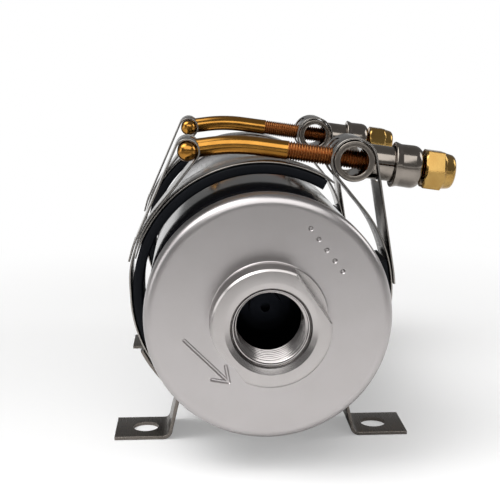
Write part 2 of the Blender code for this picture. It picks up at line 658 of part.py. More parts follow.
def make_brushes():
    """Brush plate with its rear bush, two brush tubes, brushes and springs."""
    plate_end = BRUSH_PLATE_START + BRUSH_PLATE_LENGTH
    bush_start = plate_end - GAP
    seat = BUSH_OUTER + GAP
    bore = SHAFT_RADIUS + SLACK
    holder = turned("brush_plate", [
        (bore, BRUSH_PLATE_START), (FIT_RADIUS, BRUSH_PLATE_START), (FIT_RADIUS, plate_end),
        (BRUSH_HUB_RADIUS, plate_end), (BRUSH_HUB_RADIUS, BRUSH_HUB_END), (seat, BRUSH_HUB_END),
        (seat, bush_start - GAP), (bore, bush_start - GAP)], Finish.NYLON)
    for i in range(PLATE_HOLES):
        spot = polar(BRUSH_PLATE_HOLE_RING, 360.0 * (i + 0.5) / PLATE_HOLES)
        tool = rod(f"brush_plate_hole_{i}", BRUSH_PLATE_HOLE, BRUSH_PLATE_START - SLACK, plate_end + SLACK,
                   None, place=(spot.x, 0, spot.y), steps=HOLE_STEPS)
        cut(holder, tool)
    ring("rear_bush", bore, BUSH_OUTER, bush_start, bush_start + BUSH_LENGTH - GAP, Finish.BRONZE,
         steps=SMALL_STEPS)
    brush_start = COMMUTATOR_RADIUS + GAP
    brush_end = brush_start + BRUSH_LONG
    room_end = brush_end + BRUSH_SPRING_ROOM
    tube_start = brush_start + BRUSH_LONG / 4
    tube_end = room_end + BRUSH_WALL
    room = 2 * GAP
    for name, side in (("left", -1), ("right", 1)):
        tube = block(f"{name}_brush_tube", (tube_end - tube_start, BRUSH_WIDE + room + 2 * BRUSH_WALL,
                                            BRUSH_TALL + room + 2 * BRUSH_WALL), Finish.BRASS,
                     (side * (tube_start + tube_end) / 2, BRUSH_CENTRE, 0))
        well = block(f"{name}_brush_well", (room_end - tube_start + BRUSH_WALL, BRUSH_WIDE + room,
                                            BRUSH_TALL + room), None,
                     (side * (tube_start - BRUSH_WALL + room_end) / 2, BRUSH_CENTRE, 0))
        cut(tube, well)
        block(f"{name}_brush", (BRUSH_LONG, BRUSH_WIDE, BRUSH_TALL), Finish.CARBON,
              (side * (brush_start + brush_end) / 2, BRUSH_CENTRE, 0), bevel=GAP)
        margin = GAP + SPRING_WIRE
        path = coil_path(BRUSH_WIDE / 2 - SPRING_WIRE, brush_end + margin, room_end - margin)
        add_piece(f"{name}_brush_spring", wire_mesh(f"{name}_brush_spring", path, SPRING_WIRE, 1),
                  Finish.STEEL, (0, BRUSH_CENTRE, 0), (0.0, side * math.pi / 2, 0.0))


def make_valve():
    """Check valve in the outlet cap: seat, poppet, spring and retainer."""
    fit = VALVE_BORE - GAP
    seat_start = VALVE_START + GAP
    seat_end = seat_start + SEAT_LENGTH
    ring("valve_seat", SEAT_BORE, fit, seat_start, seat_end, Finish.BRASS, steps=SMALL_STEPS)
    head_start = seat_end + GAP
    head_end = head_start + POPPET_LENGTH
    turned("check_poppet", [
        (0.0, head_start), (POPPET_RADIUS, head_start), (POPPET_RADIUS, head_start + POPPET_LENGTH / 2),
        (POPPET_RADIUS - POPPET_LENGTH / 2, head_end), (STEM_RADIUS, head_end),
        (STEM_RADIUS, head_end + STEM_LENGTH), (0.0, head_end + STEM_LENGTH)],
        Finish.BRASS, steps=SMALL_STEPS)
    margin = GAP + SPRING_WIRE
    spring_end = head_end + VALVE_SPRING_LENGTH
    path = coil_path(VALVE_SPRING_RADIUS, head_end + margin, spring_end - margin)
    add_piece("valve_spring", wire_mesh("valve_spring", path, SPRING_WIRE, 1), Finish.STEEL, turn=AXIAL)
    retainer = ring("valve_retainer", STEM_RADIUS + SLACK, fit, spring_end, spring_end + RETAINER_LENGTH,
                    Finish.BRASS, steps=SMALL_STEPS)
    retainer_end = spring_end + RETAINER_LENGTH
    for i in range(PLATE_HOLES):
        spot = polar(RETAINER_HOLE_RING, 360.0 * i / PLATE_HOLES)
        tool = rod(f"valve_hole_{i}", RETAINER_HOLE, spring_end - SLACK, retainer_end + SLACK, None,
                   place=(spot.x, 0, spot.y), steps=HOLE_STEPS)
        cut(retainer, tool)


def make_terminals(outlet_cap):
    """Two terminal studs through the outlet cap, each with an insulator and a nut."""
    bore = TERMINAL_RADIUS + GAP
    sleeve = bore + INSULATOR_WALL
    flange_start = TERMINAL_FACE + GAP
    flange_end = flange_start + INSULATOR_FLANGE_LENGTH
    nut_start = flange_end + GAP
    for name, angle in (("positive", 90.0 - TERMINAL_ANGLE), ("negative", 90.0 + TERMINAL_ANGLE)):
        spot = polar(TERMINAL_RING, angle)
        place = (spot.x, 0, spot.y)
        hole = rod(f"{name}_hole", sleeve + GAP, VALVE_START - SLACK, TERMINAL_FACE + SLACK, None,
                   place=place)
        cut(outlet_cap, hole)
        turned(f"{name}_insulator", [
            (bore, VALVE_START), (sleeve, VALVE_START), (sleeve, flange_start),
            (INSULATOR_FLANGE, flange_start), (INSULATOR_FLANGE, flange_end), (bore, flange_end)],
            Finish.NYLON, place, steps=SMALL_STEPS)
        rod(f"{name}_terminal", TERMINAL_RADIUS, VALVE_START - TERMINAL_TAIL,
            TERMINAL_FACE + TERMINAL_STANDOUT, Finish.BRASS, place=place, chamfer=GAP)
        hexagon = circle(TERMINAL_NUT_FLATS / math.sqrt(3), HEXAGON)
        plate(f"{name}_terminal_nut", [hexagon, circle(bore, SMALL_STEPS)], nut_start,
              nut_start + TERMINAL_NUT_LENGTH, Finish.BRASS, place)


def strap_radius(degrees):
    """Radius of the strap round the ring; it steps out where the bridge runs under it."""
    share = (STEP_OUT_END - degrees) / (STEP_OUT_END - STEP_OUT_START)
    share = min(1.0, max(0.0, share))
    return STRAP_MIDDLE + BRIDGE_STEP * share * share * (3.0 - 2.0 * share)


def strap_path():
    """Strap from its left folded end, over the left loop, round the ring and over the right loop.

    Each loop joins the ring by its crossed tangent and its folded end lies back along its open tangent.
    """
    left = polar(LOOP_PIN_RING, LEFT_LOOP_ANGLE, CENTRE)
    right = polar(LOOP_PIN_RING, RIGHT_LOOP_ANGLE, CENTRE)
    left_loop = BOLT_RADIUS + SLACK + STRAP / 2
    right_loop = TRUNNION_RADIUS + SLACK + STRAP / 2
    lap = STRAP + GAP
    high = STRAP_MIDDLE + BRIDGE_STEP
    left_inner = LEFT_LOOP_ANGLE + math.degrees(math.acos((high + left_loop) / LOOP_PIN_RING))
    left_outer = LEFT_LOOP_ANGLE + math.degrees(math.acos((high + lap - left_loop) / LOOP_PIN_RING))
    right_inner = RIGHT_LOOP_ANGLE - math.degrees(math.acos((STRAP_MIDDLE + right_loop) / LOOP_PIN_RING))
    right_outer = RIGHT_LOOP_ANGLE - math.degrees(
        math.acos((STRAP_MIDDLE + lap - right_loop) / LOOP_PIN_RING))
    path = arc(high + lap, LEFT_FOLD_END, left_outer, ARC_STEP, CENTRE)
    path += arc(left_loop, left_outer, left_inner - 180.0, 4 * ARC_STEP, left)
    turns = math.ceil((360.0 + right_inner - left_inner) / ARC_STEP)
    for i in range(turns + 1):
        angle = left_inner + (360.0 + right_inner - left_inner) * i / turns
        path.append(polar(strap_radius(angle), angle, CENTRE))
    path += arc(right_loop, right_inner + 180.0, right_outer, 3 * ARC_STEP, right)
    path += arc(STRAP_MIDDLE + lap, right_outer, RIGHT_FOLD_END, ARC_STEP, CENTRE)
    return path, left, right


def foot_path():
    """Left foot from its saddle on the strap, down its upright and out along the mounting face."""
    saddle = STRAP_MIDDLE + STRAP / 2 + GAP + FOOT_STRIP / 2
    level = FOOT_STRIP / 2 - AXIS_HEIGHT
    lap = arc(saddle, SADDLE_START, SADDLE_END, ARC_STEP, CENTRE)
    heading = (lap[-1] - lap[-2]).normalized()
    corner = lap[-1] + heading * FOOT_BEND
    bend = Vector((-FOOT_BEND_SPAN / 2, level))
    end = Vector((-FOOT_SPAN / 2, level))
    return lap[:-1] + rounded([lap[-1], corner, bend, end], FOOT_BEND)


def make_feet(clamp, middle):
    """Left and right foot of one clamp, each with a round screw hole."""
    path = foot_path()
    for side_name, side in (("left", 1), ("right", -1)):
        foot = strip(f"{clamp}_{side_name}_foot", [Vector((side * p.x, p.y)) for p in path], FOOT_STRIP,
                     Finish.STAINLESS, middle)
        tool = rod(f"{clamp}_{side_name}_foot_hole", FOOT_HOLE_RADIUS, -FOOT_BEND, FOOT_BEND, None, (0, 0, 0),
                   (-side * FOOT_HOLE_SPACING / 2, middle, -AXIS_HEIGHT))
        cut(foot, tool)


def bolt_path(left, right):
    """Bolt from the crossbar through the trunnion to its end in the nut, with its one bend."""
    rise = Vector((math.cos(math.radians(BOLT_RISE)), math.sin(math.radians(BOLT_RISE))))
    fall = Vector((math.cos(math.radians(BOLT_FALL)), -math.sin(math.radians(BOLT_FALL))))
    span = right - left
    reach = (span.x * fall.y - span.y * fall.x) / (rise.x * fall.y - rise.y * fall.x)
    end = right + fall * (nut_start() + NUT_LENGTH - GAP)
    return rounded([left, left + rise * reach, end], BOLT_BEND, ARC_STEP)


def cap_start():
    """Mouth of the thrust cap, measured along the bolt from the trunnion's centre."""
    return SLEEVE_LENGTH - CAP_OVERLAP


def nut_start():
    """Inner face of the lock nut, measured along the bolt from the trunnion's centre."""
    return cap_start() + THRUST_CAP_LENGTH + GAP


def make_bolt(clamp, middle, left, right):
    """T-bolt, trunnion, thrust cap and lock nut of one clamp."""
    path = bolt_path(left, right)
    name = f"{clamp}_t_bolt"
    shank = wire_mesh(name, [(p.x, 0.0, p.y) for p in path], BOLT_RADIUS, 3)
    bolt = add_piece(name, shank, Finish.GOLD_ZINC, (0, middle, 0))
    half = CROSSBAR_LENGTH / 2
    crossbar = rod(f"{clamp}_crossbar", BOLT_RADIUS, -half, half, None, AXIAL, (left.x, middle, left.y),
                   chamfer=CROSSBAR_ROUND)
    combine(bolt, crossbar, "UNION")
    place = (right.x, middle, right.y)
    bore = BOLT_RADIUS + SLACK
    half = STRAP_WIDTH / 2
    trunnion = rod(f"{clamp}_trunnion", TRUNNION_RADIUS, -half, half, Finish.STEEL, AXIAL, place,
                   TRUNNION_STEPS)
    sleeve = rod(f"{clamp}_sleeve", SLEEVE_RADIUS, 0.0, SLEEVE_LENGTH, None, ALONG_BOLT, place, SLEEVE_STEPS)
    combine(trunnion, sleeve, "UNION")
    hollow = rod(f"{clamp}_hollow", TRUNNION_RADIUS - TRUNNION_WALL, -half - SLACK, half + SLACK, None, AXIAL,
                 place, SMALL_STEPS)
    drill = rod(f"{clamp}_drill", bore, -2 * TRUNNION_RADIUS, SLEEVE_LENGTH + SLACK, None, ALONG_BOLT, place)
    cut(trunnion, hollow, drill)
    start = cap_start()
    end = start + THRUST_CAP_LENGTH
    crown_centre = (end - THRUST_CAP_CROWN, THRUST_CAP_RADIUS - THRUST_CAP_CROWN)
    crown = arc(THRUST_CAP_CROWN, 90.0, 0.0, CROWN_STEP, crown_centre)
    turned(f"{clamp}_thrust_cap", [
        (SLEEVE_RADIUS + SLACK, start), (THRUST_CAP_RADIUS, start), *[(p.y, p.x) for p in crown],
        (bore, end), (bore, SLEEVE_LENGTH + SLACK), (SLEEVE_RADIUS + SLACK, SLEEVE_LENGTH + SLACK)],
        Finish.STEEL, place, ALONG_BOLT, SLEEVE_STEPS)
    make_lock_nut(clamp, place, bore)


def make_lock_nut(clamp, place, bore):
    """Hex nut with chamfered corners and a round locking collar at its outer end."""
    start = nut_start()
    end = start + NUT_LENGTH
    corner = NUT_FLATS / math.sqrt(3)
    chamfer = corner - NUT_FLATS / 2
    hex_end = end - NUT_COLLAR_LENGTH
    nut = turned(f"{clamp}_lock_nut", [
        (bore, start), (corner - chamfer, start), (corner, start + chamfer), (corner, hex_end - chamfer),
        (corner - chamfer, hex_end), (NUT_COLLAR_RADIUS, hex_end), (NUT_COLLAR_RADIUS, end - chamfer),
        (NUT_COLLAR_RADIUS - chamfer, end), (bore, end)], Finish.GOLD_ZINC, place, ALONG_BOLT, NUT_STEPS)
    tool = rod(f"{clamp}_hexagon", corner, start - SLACK, end + SLACK, None, ALONG_BOLT, place, HEXAGON)
    combine(nut, tool, "INTERSECT")


def make_clamp(clamp, middle):
    """One whole clamp: liner, bridge, strap with slotted loops, bolt set and feet."""
    path, left, right = strap_path()
    strip(f"{clamp}_liner", arc((LINER_BORE + LINER_OUTER) / 2, LINER_START, LINER_END, ARC_STEP, CENTRE),
          LINER, Finish.RUBBER, middle)
    strip(f"{clamp}_bridge", arc(BRIDGE_MIDDLE, BRIDGE_START, BRIDGE_END, ARC_STEP, CENTRE), BRIDGE,
          Finish.STAINLESS, middle)
    strap = strip(f"{clamp}_strap", path, STRAP, Finish.STAINLESS, middle)
    make_bolt(clamp, middle, left, right)
    slot = 2 * (BOLT_RADIUS + SLACK)
    reach = 4 * BOLT_RADIUS
    tall = 2 * (BOLT_RADIUS + 2 * SLACK)
    turn = (0.0, -math.radians(BOLT_RISE), 0.0)
    left_slot = block(f"{clamp}_left_slot", (reach, slot, tall), None,
                      (left.x + reach / 2, middle, left.y), turn)
    wide = 2 * (SLEEVE_RADIUS + SLACK)
    long = 6 * TRUNNION_RADIUS
    turn = (0.0, math.radians(BOLT_FALL), 0.0)
    right_slot = block(f"{clamp}_right_slot", (long, wide, wide), None, (right.x, middle, right.y), turn)
    cut(strap, left_slot, right_slot)
    make_feet(clamp, middle)


def stand_on_feet():
    """Move the frame so that the middle of the whole object's underside is at the world origin."""
    bpy.context.view_layer.update()
    scene = bpy.context.evaluated_depsgraph_get()
    corners = []
    for piece in GROUPS["fuel_pump"].objects:
        if piece.type == "MESH":
            seen = piece.evaluated_get(scene)
            corners += [seen.matrix_world @ vertex.co for vertex in seen.data.vertices]
    low = [min(corner[i] for corner in corners) for i in range(3)]
    high = [max(corner[i] for corner in corners) for i in range(3)]
    FRAME.location = (-(low[0] + high[0]) / 2, -(low[1] + high[1]) / 2, -low[2])
    bpy.context.view_layer.update()


def main():
    """Build every piece, then stand the pump on its feet."""
    outlet_cap = make_caps()
    inner_rotor = make_pump()
    make_armature(inner_rotor)
    make_field()
    make_brushes()
    make_valve()
    make_terminals(outlet_cap)
    first = SHOULDER + CLAMP_SETBACK + STRAP_WIDTH / 2
    make_clamp("front", first)
    make_clamp("rear", first + CLAMP_SPACING)
    stand_on_feet()


main()
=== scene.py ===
"""Finished look of an in-line electric pump held by two cushioned T-bolt clamps.

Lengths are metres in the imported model's frame: the pump axis runs along +Y from the inlet face,
X is to the right when looking along it, and Z is up.
"""

from __future__ import annotations

import json
import logging
import math
from dataclasses import dataclass
from enum import Enum

import bmesh
import bpy
import numpy as np
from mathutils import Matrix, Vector


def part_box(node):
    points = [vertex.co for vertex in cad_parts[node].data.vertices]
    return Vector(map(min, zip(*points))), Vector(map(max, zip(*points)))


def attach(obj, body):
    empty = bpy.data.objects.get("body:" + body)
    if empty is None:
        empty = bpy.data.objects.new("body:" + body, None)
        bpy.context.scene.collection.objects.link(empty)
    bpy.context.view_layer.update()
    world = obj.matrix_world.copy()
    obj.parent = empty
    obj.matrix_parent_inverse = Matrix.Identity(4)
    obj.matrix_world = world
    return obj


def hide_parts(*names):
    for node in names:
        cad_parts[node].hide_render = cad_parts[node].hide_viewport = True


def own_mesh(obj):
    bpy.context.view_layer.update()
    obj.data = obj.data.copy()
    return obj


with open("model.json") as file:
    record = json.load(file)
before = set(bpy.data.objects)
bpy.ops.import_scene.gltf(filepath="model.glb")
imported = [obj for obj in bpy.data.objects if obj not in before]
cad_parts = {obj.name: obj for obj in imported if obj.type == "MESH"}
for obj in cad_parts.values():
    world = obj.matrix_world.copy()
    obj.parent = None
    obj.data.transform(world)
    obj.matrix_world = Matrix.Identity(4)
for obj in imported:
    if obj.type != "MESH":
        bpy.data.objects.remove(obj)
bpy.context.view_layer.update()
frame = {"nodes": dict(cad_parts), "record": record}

MM = 0.001
WELD = 1e-7                 # points closer than this are one point
SHARP = 35.0  # degrees between faces above which an edge is shown sharp
THREAD_SHARP = 60.0         # the same on a screw thread, whose flanks stay smooth
STRUCK_SHARP = 25.0         # the same on the cap with struck marks
BEVEL_SHARP = 40.0  # degrees above which an edge is rounded
NOISE_RANGE = (0.3, 0.7)    # most of a noise's values lie between these
HEX_CUT = 0.06 * MM         # what a hexagon's corners are cut back by
LOG = logging.getLogger("pump")

Array = np.ndarray
Pair = tuple[float, float]
Corner = tuple[float, float, float]


# Small tools for numbers and paths


def linear(colour: str) -> tuple[float, float, float, float]:
    """Turn an sRGB hex colour into linear light.

    Args:
        colour: Six hex digits after a hash.

    Returns:
        Red, green, blue and an alpha of 1.
    """
    parts = np.array([int(colour[i:i + 2], 16) / 255.0 for i in (1, 3, 5)])
    light = np.where(parts <= 0.04045, parts / 12.92, ((parts + 0.055) / 1.055) ** 2.4)
    return (*light.tolist(), 1.0)


def unit(vectors: Array) -> Array:
    """Vectors divided by their lengths, along the last axis; a vector of no length stays so."""
    return vectors / np.maximum(np.linalg.norm(vectors, axis=-1, keepdims=True), 1e-12)


def polar(radius: Array | float, degrees: Array | float, centre: Array | None = None) -> Array:
    """Points at angles round a centre: centre + radius (cos a, sin a).

    Args:
        radius: One radius or one per angle.
        degrees: One angle or an array of them.
        centre: Centre of the circle, the origin if left out.

    Returns:
        Points with two coordinates on the last axis.
    """
    angle = np.radians(degrees)
    points = np.stack([radius * np.cos(angle), radius * np.sin(angle)], axis=-1)
    return points if centre is None else points + centre


def arc(radius: float, first: float, last: float, step: float, centre: Array | None = None) -> Array:
    """Points along an arc from the first to the last angle, about a step of degrees apart."""
    count = max(2, math.ceil(abs(last - first) / step) + 1)
    return polar(radius, np.linspace(first, last, count), centre)


def smooth_step(share: Array) -> Array:
    """Ease a share from 0 to 1 with level ends: 3t^2 - 2t^3 of the share kept within 0 and 1."""
    share = np.clip(share, 0.0, 1.0)
    return share * share * (3.0 - 2.0 * share)


def fillet_path(corners: list[Corner], points: int = 7) -> Array:
    """Round the corners of an outline.

    Each corner's arc has its centre on the bisector at radius / sin(half angle), and touches both
    sides at radius / tan(half angle) from the corner. A radius of 0 keeps the corner sharp.

    Args:
        corners: First coordinate, second coordinate and radius of each corner.
        points: Points along each arc.

    Returns:
        Points of the outline in order, with no two the same.
    """
    table = np.array(corners, float)
    here, radius = table[:, :2], table[:, 2]
    back = unit(np.roll(here, 1, 0) - here)
    ahead = unit(np.roll(here, -1, 0) - here)
    half = np.arccos(np.clip((back * ahead).sum(1), -1.0, 1.0)) / 2
    middle = here + unit(back + ahead) * (radius / np.sin(half))[:, None]
    reach = (radius / np.tan(half))[:, None]
    start, end = here + back * reach - middle, here + ahead * reach - middle
    first = np.arctan2(start[:, 1], start[:, 0])
    sweep = (np.arctan2(end[:, 1], end[:, 0]) - first + math.pi) % (2 * math.pi) - math.pi
    angle = first[:, None] + sweep[:, None] * np.linspace(0.0, 1.0, points)
    ring = np.stack([np.cos(angle), np.sin(angle)], axis=-1) * radius[:, None, None]
    path = (middle[:, None] + ring).reshape(-1, 2)
    keep = np.linalg.norm(np.diff(path, axis=0, prepend=path[:1] + 1.0), axis=1) > WELD
    return path[keep]


def resample(path: Array, lengths: Array) -> Array:
    """Points of a path at given distances along it, by straight interpolation.

    Args:
        path: Points of the path in order.
        lengths: Distances along it.

    Returns:
        One point per distance.
    """
    steps = np.linalg.norm(np.diff(path, axis=0), axis=1)
    run = np.concatenate([[0.0], np.cumsum(steps)])
    return np.stack([np.interp(lengths, run, path[:, i]) for i in range(path.shape[1])], axis=-1)


def path_normals(path: Array) -> Array:
    """Unit normals to the left of a flat path: its heading turned by a quarter turn."""
    heading = unit(np.gradient(path, axis=0))
    return np.stack([-heading[:, 1], heading[:, 0]], axis=-1)


def round_points(radius: Array, angles: Array, height: Array) -> Array:
    """Points (r cos a, r sin a, h) of radii by angle and height.

    Args:
        radius: Radius by angle and height.
        angles: Angles in radians.
        height: Height of each column.

    Returns:
        Points by angle, height and coordinate.
    """
    turn = angles[:, None]
    level = np.broadcast_to(height, radius.shape)
    return np.stack([radius * np.cos(turn), radius * np.sin(turn), level], axis=-1)


def thread_wave(along: Array, angle: Array, pitch: float) -> Array:
    """Depth of a screw thread, from 0 at its root to 1 at its crest.

    The wave is a triangle of the distance along the axis in pitches less the turns of the angle,
    with its top and bottom cut flat.

    Args:
        along: Distance along the axis.
        angle: Angle round the axis in radians.
        pitch: Advance of one turn.

    Returns:
        The depth at each point.
    """
    phase = (along / pitch - angle / (2 * math.pi)) % 1.0
    return np.clip(1.5 * np.abs(2.0 * phase - 1.0) - 0.25, 0.0, 1.0)


@dataclass(frozen=True)
class Place:
    """A piece's own frame: its origin and the world directions of its three axes."""

    origin: Array
    across: Array
    up: Array
    along: Array

    def put(self, points: Array) -> Array:
        """World points of points in this frame: origin + x across + y up + z along."""
        return self.origin + points @ np.stack([self.across, self.up, self.along])


# Meshes from grids of points


def weld(mesh: bpy.types.Mesh, sharp: float) -> None:
    """Merge seam and pole points, turn faces outwards and mark edges sharper than an angle.

    Args:
        mesh: The mesh to finish.
        sharp: Degrees between faces above which an edge is shown sharp.
    """
    work = bmesh.new()
    work.from_mesh(mesh)
    bmesh.ops.remove_doubles(work, verts=work.verts, dist=WELD)
    bmesh.ops.recalc_face_normals(work, faces=work.faces)
    if work.calc_volume(signed=True) < 0.0:
        bmesh.ops.reverse_faces(work, faces=work.faces)
    work.to_mesh(mesh)
    work.free()
    mesh.shade_smooth()
    mesh.set_sharp_from_angle(angle=math.radians(sharp))


def add_surface(name: str, grid: Array, closed_rows: bool = False, capped: bool = False,
                sharp: float = SHARP) -> bpy.types.Object:
    """Make a piece of a grid of points whose columns run round a closed outline.

    Point (i, j) joins its neighbours (i + 1, j) and (i, j + 1) by one quad.

    Args:
        name: Name of the piece.
        grid: World points by row, column and coordinate.
        closed_rows: The last row joins the first.
        capped: The first and last rows are filled.
        sharp: Degrees above which an edge is shown sharp.

    Returns:
        The new object at the origin, with its place in its mesh.
    """
    rows, columns = grid.shape[:2]
    index = np.arange(rows * columns).reshape(rows, columns)
    here, after = (index, np.roll(index, -1, 0)) if closed_rows else (index[:-1], index[1:])
    quads = np.stack([here, np.roll(here, -1, 1), np.roll(after, -1, 1), after], axis=-1)
    faces = quads.reshape(-1, 4).tolist()
    if capped:
        faces += [index[0].tolist(), index[-1].tolist()]
    mesh = bpy.data.meshes.new(name)
    mesh.from_pydata(grid.reshape(-1, 3), [], faces)
    weld(mesh, sharp)
    piece = bpy.data.objects.new(name, mesh)
    bpy.context.scene.collection.objects.link(piece)
    return piece


def turn_grid(place: Place, profile: Array, angles: Array, limit: Array | None = None) -> Array:
    """Turn a profile about a place's third axis: (r cos a, r sin a, h) for each profile point.

    Args:
        place: Frame of the axis.
        profile: Radius and height of each point.
        angles: Angles in radians.
        limit: Largest radius at each angle, or at each angle and profile point, such as a hexagon's.

    Returns:
        World points with angles as rows and the profile as columns.
    """
    radius = np.repeat(profile[None, :, 0], len(angles), axis=0)
    if limit is not None:
        radius = np.minimum(radius, limit if limit.ndim == 2 else limit[:, None])
    return place.put(round_points(radius, angles, profile[:, 1]))


def full_turn(count: int) -> Array:
    """Angles of a full turn in radians, without the repeated last one."""
    return np.arange(count) * (2 * math.pi / count)


def turned(name: str, place: Place, corners: list[Corner], count: int = 96,
           limit: Array | None = None) -> bpy.types.Object:
    """Turn a closed outline of radius, height and corner radius about a place's third axis."""
    grid = turn_grid(place, fillet_path(corners), full_turn(count), limit)
    return add_surface(name, grid, closed_rows=True)


def round_bar(name: str, place: Place, radius: float, half: float, count: int,
              edge: float = 0.0) -> bpy.types.Object:
    """Turned bar that reaches as far to both sides of a place, with rounded ends if an edge is given."""
    ends = [(0.0, -half, 0.0), (radius, -half, edge), (radius, half, edge), (0.0, half, 0.0)]
    return turned(name, place, ends, count)


def strip_grid(path: Array, thickness: float, width: float, middle: float, edge: float,
               origin: Array) -> Array:
    """Carry a rounded rectangle along a path in the XZ plane.

    Each point is the path's point plus the section's first coordinate along the path's normal and
    its second along Y.

    Args:
        path: Points across and up from the pump axis.
        thickness: Size of the section along the normal.
        width: Size of the section along Y.
        middle: World Y of the section's centre.
        edge: Radius of the section's corners.
        origin: World point of the pump axis.

    Returns:
        World points with the path as rows and the section as columns.
    """
    t, w = thickness / 2, width / 2
    section = fillet_path([(-t, -w, edge), (t, -w, edge), (t, w, edge), (-t, w, edge)], points=5)
    flat = path[:, None] + path_normals(path)[:, None] * section[None, :, :1]
    across = np.broadcast_to(section[None, :, 1], flat.shape[:2])
    return np.stack([origin[0] + flat[..., 0], middle + across, origin[2] + flat[..., 1]], axis=-1)


def cut(piece: bpy.types.Object, *tools: bpy.types.Object, sharp: float = SHARP) -> None:
    """Cut tools out of a piece for good, and remove the tools.

    Args:
        piece: The piece that is cut.
        tools: Closed meshes to take away from it.
        sharp: Degrees above which an edge is shown sharp afterwards.
    """
    for tool in tools:
        step = piece.modifiers.new("Cut", "BOOLEAN")
        step.operation = "DIFFERENCE"
        step.object = tool
    seen = piece.evaluated_get(bpy.context.evaluated_depsgraph_get())
    mesh = bpy.data.meshes.new_from_object(seen)
    piece.modifiers.clear()
    piece.data = mesh
    for tool in tools:
        bpy.data.objects.remove(tool)
    mesh.shade_smooth()
    mesh.set_sharp_from_angle(angle=math.radians(sharp))


def round_edges(piece: bpy.types.Object, width: float) -> None:
    """Round a piece's sharp edges a little, so that they catch the light.

    Args:
        piece: The piece to round.
        width: Width of the rounding.
    """
    edge = piece.modifiers.new("Edges", "BEVEL")
    edge.width = width
    edge.segments = 2
    edge.limit_method = "ANGLE"
    edge.angle_limit = math.radians(BEVEL_SHARP)


# Materials


def add_node(tree: bpy.types.NodeTree, kind: str, inputs: dict | None = None,
             **settings: object) -> bpy.types.Node:
    """Add a node, give it its settings and fill its sockets.

    Args:
        tree: The tree that takes the node.
        kind: Blender's name for the node's type.
        inputs: Socket name or number to a value, or to an output socket that is linked to it.
        settings: Attributes of the node.

    Returns:
        The new node.
    """
    node = tree.nodes.new(kind)
    for name, value in settings.items():
        setattr(node, name, value)
    for socket, value in (inputs or {}).items():
        if isinstance(value, bpy.types.NodeSocket):
            tree.links.new(value, node.inputs[socket])
        else:
            node.inputs[socket].default_value = value
    return node


class Axis(Enum):
    """Direction that a grain or a set of tool marks runs along."""

    NONE = (1.0, 1.0, 1.0)
    ALONG_X = (0.06, 1.0, 1.0)
    ALONG_Y = (1.0, 0.04, 1.0)
    AROUND_PUMP = (1.0, 1.0, 1.0)


@dataclass(frozen=True)
class Finish:
    """One surface: its two colours, how rough it is, and the marks its making leaves."""

    name: str
    colour: str
    shade: str
    metallic: float
    smooth: float               # lowest roughness
    rough: float                # highest roughness
    mottle: float               # size of the patches of shade
    grain: float                # size of the finest marks
    depth: float                # height of those marks
    axis: Axis = Axis.NONE
    ior: float = 1.5
    sheen: float = 0.5          # strength of a non-metal's reflection

    def make(self) -> bpy.types.Material:
        """Build the material once.

        Broad noise moves the colour towards the shade and the roughness between its limits, and
        fine noise, or rings about the pump axis for turned metal, gives the bump.

        Returns:
            The material, made on the first call.
        """
        found = bpy.data.materials.get(self.name)
        if found:
            return found
        made = bpy.data.materials.new(self.name)
        made.use_nodes = True
        tree = made.node_tree
        shader = tree.nodes["Principled BSDF"]
        where = add_node(tree, "ShaderNodeTexCoord").outputs["Object"]
        stretched = add_node(tree, "ShaderNodeMapping", {"Vector": where, "Scale": self.axis.value})
        broad = add_node(tree, "ShaderNodeTexNoise",
                         {"Vector": where, "Scale": 1.0 / self.mottle, "Detail": 4.0})
        fine = add_node(tree, "ShaderNodeTexNoise",
                        {"Vector": stretched.outputs[0], "Scale": 1.0 / self.grain, "Detail": 3.0})
        height = fine.outputs["Fac"]
        if self.axis is Axis.AROUND_PUMP:
            centred = add_node(tree, "ShaderNodeMapping",
                               {"Vector": where, "Location": (-AXIS_X, 0.0, -AXIS_Z)})
            # Blender's wave makes one ring every pi / (10 x scale)
            rings = add_node(tree, "ShaderNodeTexWave",
                             {"Vector": centred.outputs[0], "Scale": math.pi / (10.0 * self.grain),
                              "Distortion": 0.4},
                             wave_type="RINGS", rings_direction="Y")
            height = rings.outputs["Fac"]
        tint = add_node(tree, "ShaderNodeMix",
                        {0: broad.outputs["Fac"], 6: linear(self.colour), 7: linear(self.shade)},
                        data_type="RGBA")
        gloss = add_node(tree, "ShaderNodeMapRange",
                         {"Value": fine.outputs["Fac"], "From Min": NOISE_RANGE[0],
                          "From Max": NOISE_RANGE[1], "To Min": self.smooth, "To Max": self.rough})
        bump = add_node(tree, "ShaderNodeBump",
                        {"Height": height, "Distance": self.depth, "Strength": 1.0})
        tree.links.new(tint.outputs[2], shader.inputs["Base Color"])
        tree.links.new(gloss.outputs[0], shader.inputs["Roughness"])
        tree.links.new(bump.outputs[0], shader.inputs["Normal"])
        shader.inputs["Metallic"].default_value = self.metallic
        shader.inputs["Specular IOR Level"].default_value = self.sheen
        if not self.metallic:
            shader.inputs["IOR"].default_value = self.ior
        return made


# Bead-blasted, clear anodised aluminium: an even, soft grey with the faintest sparkle
SATIN_ALUMINIUM = Finish("bead_blasted_aluminium", "#B2AEAE", "#ABA7A6", 1.0, 0.3, 0.34, 9 * MM,
                         0.25 * MM, 0.0008 * MM)
# The same metal fresh from the lathe: fine rings, drawn 0.3 mm apart so that they show
TURNED_ALUMINIUM = Finish("turned_aluminium", "#B0ACAB", "#A4A09E", 1.0, 0.2, 0.24, 6 * MM, 0.3 * MM,
                          0.0006 * MM, Axis.AROUND_PUMP)
# Black dyed anodising on a drawn tube: deep black under a clear, nearly mirror-smooth skin
BLACK_ANODISED = Finish("black_anodised_tube", "#0A0A0C", "#101013", 0.0, 0.1, 0.14, 14 * MM, 0.5 * MM,
                        0.0003 * MM, Axis.ALONG_Y, 1.6)
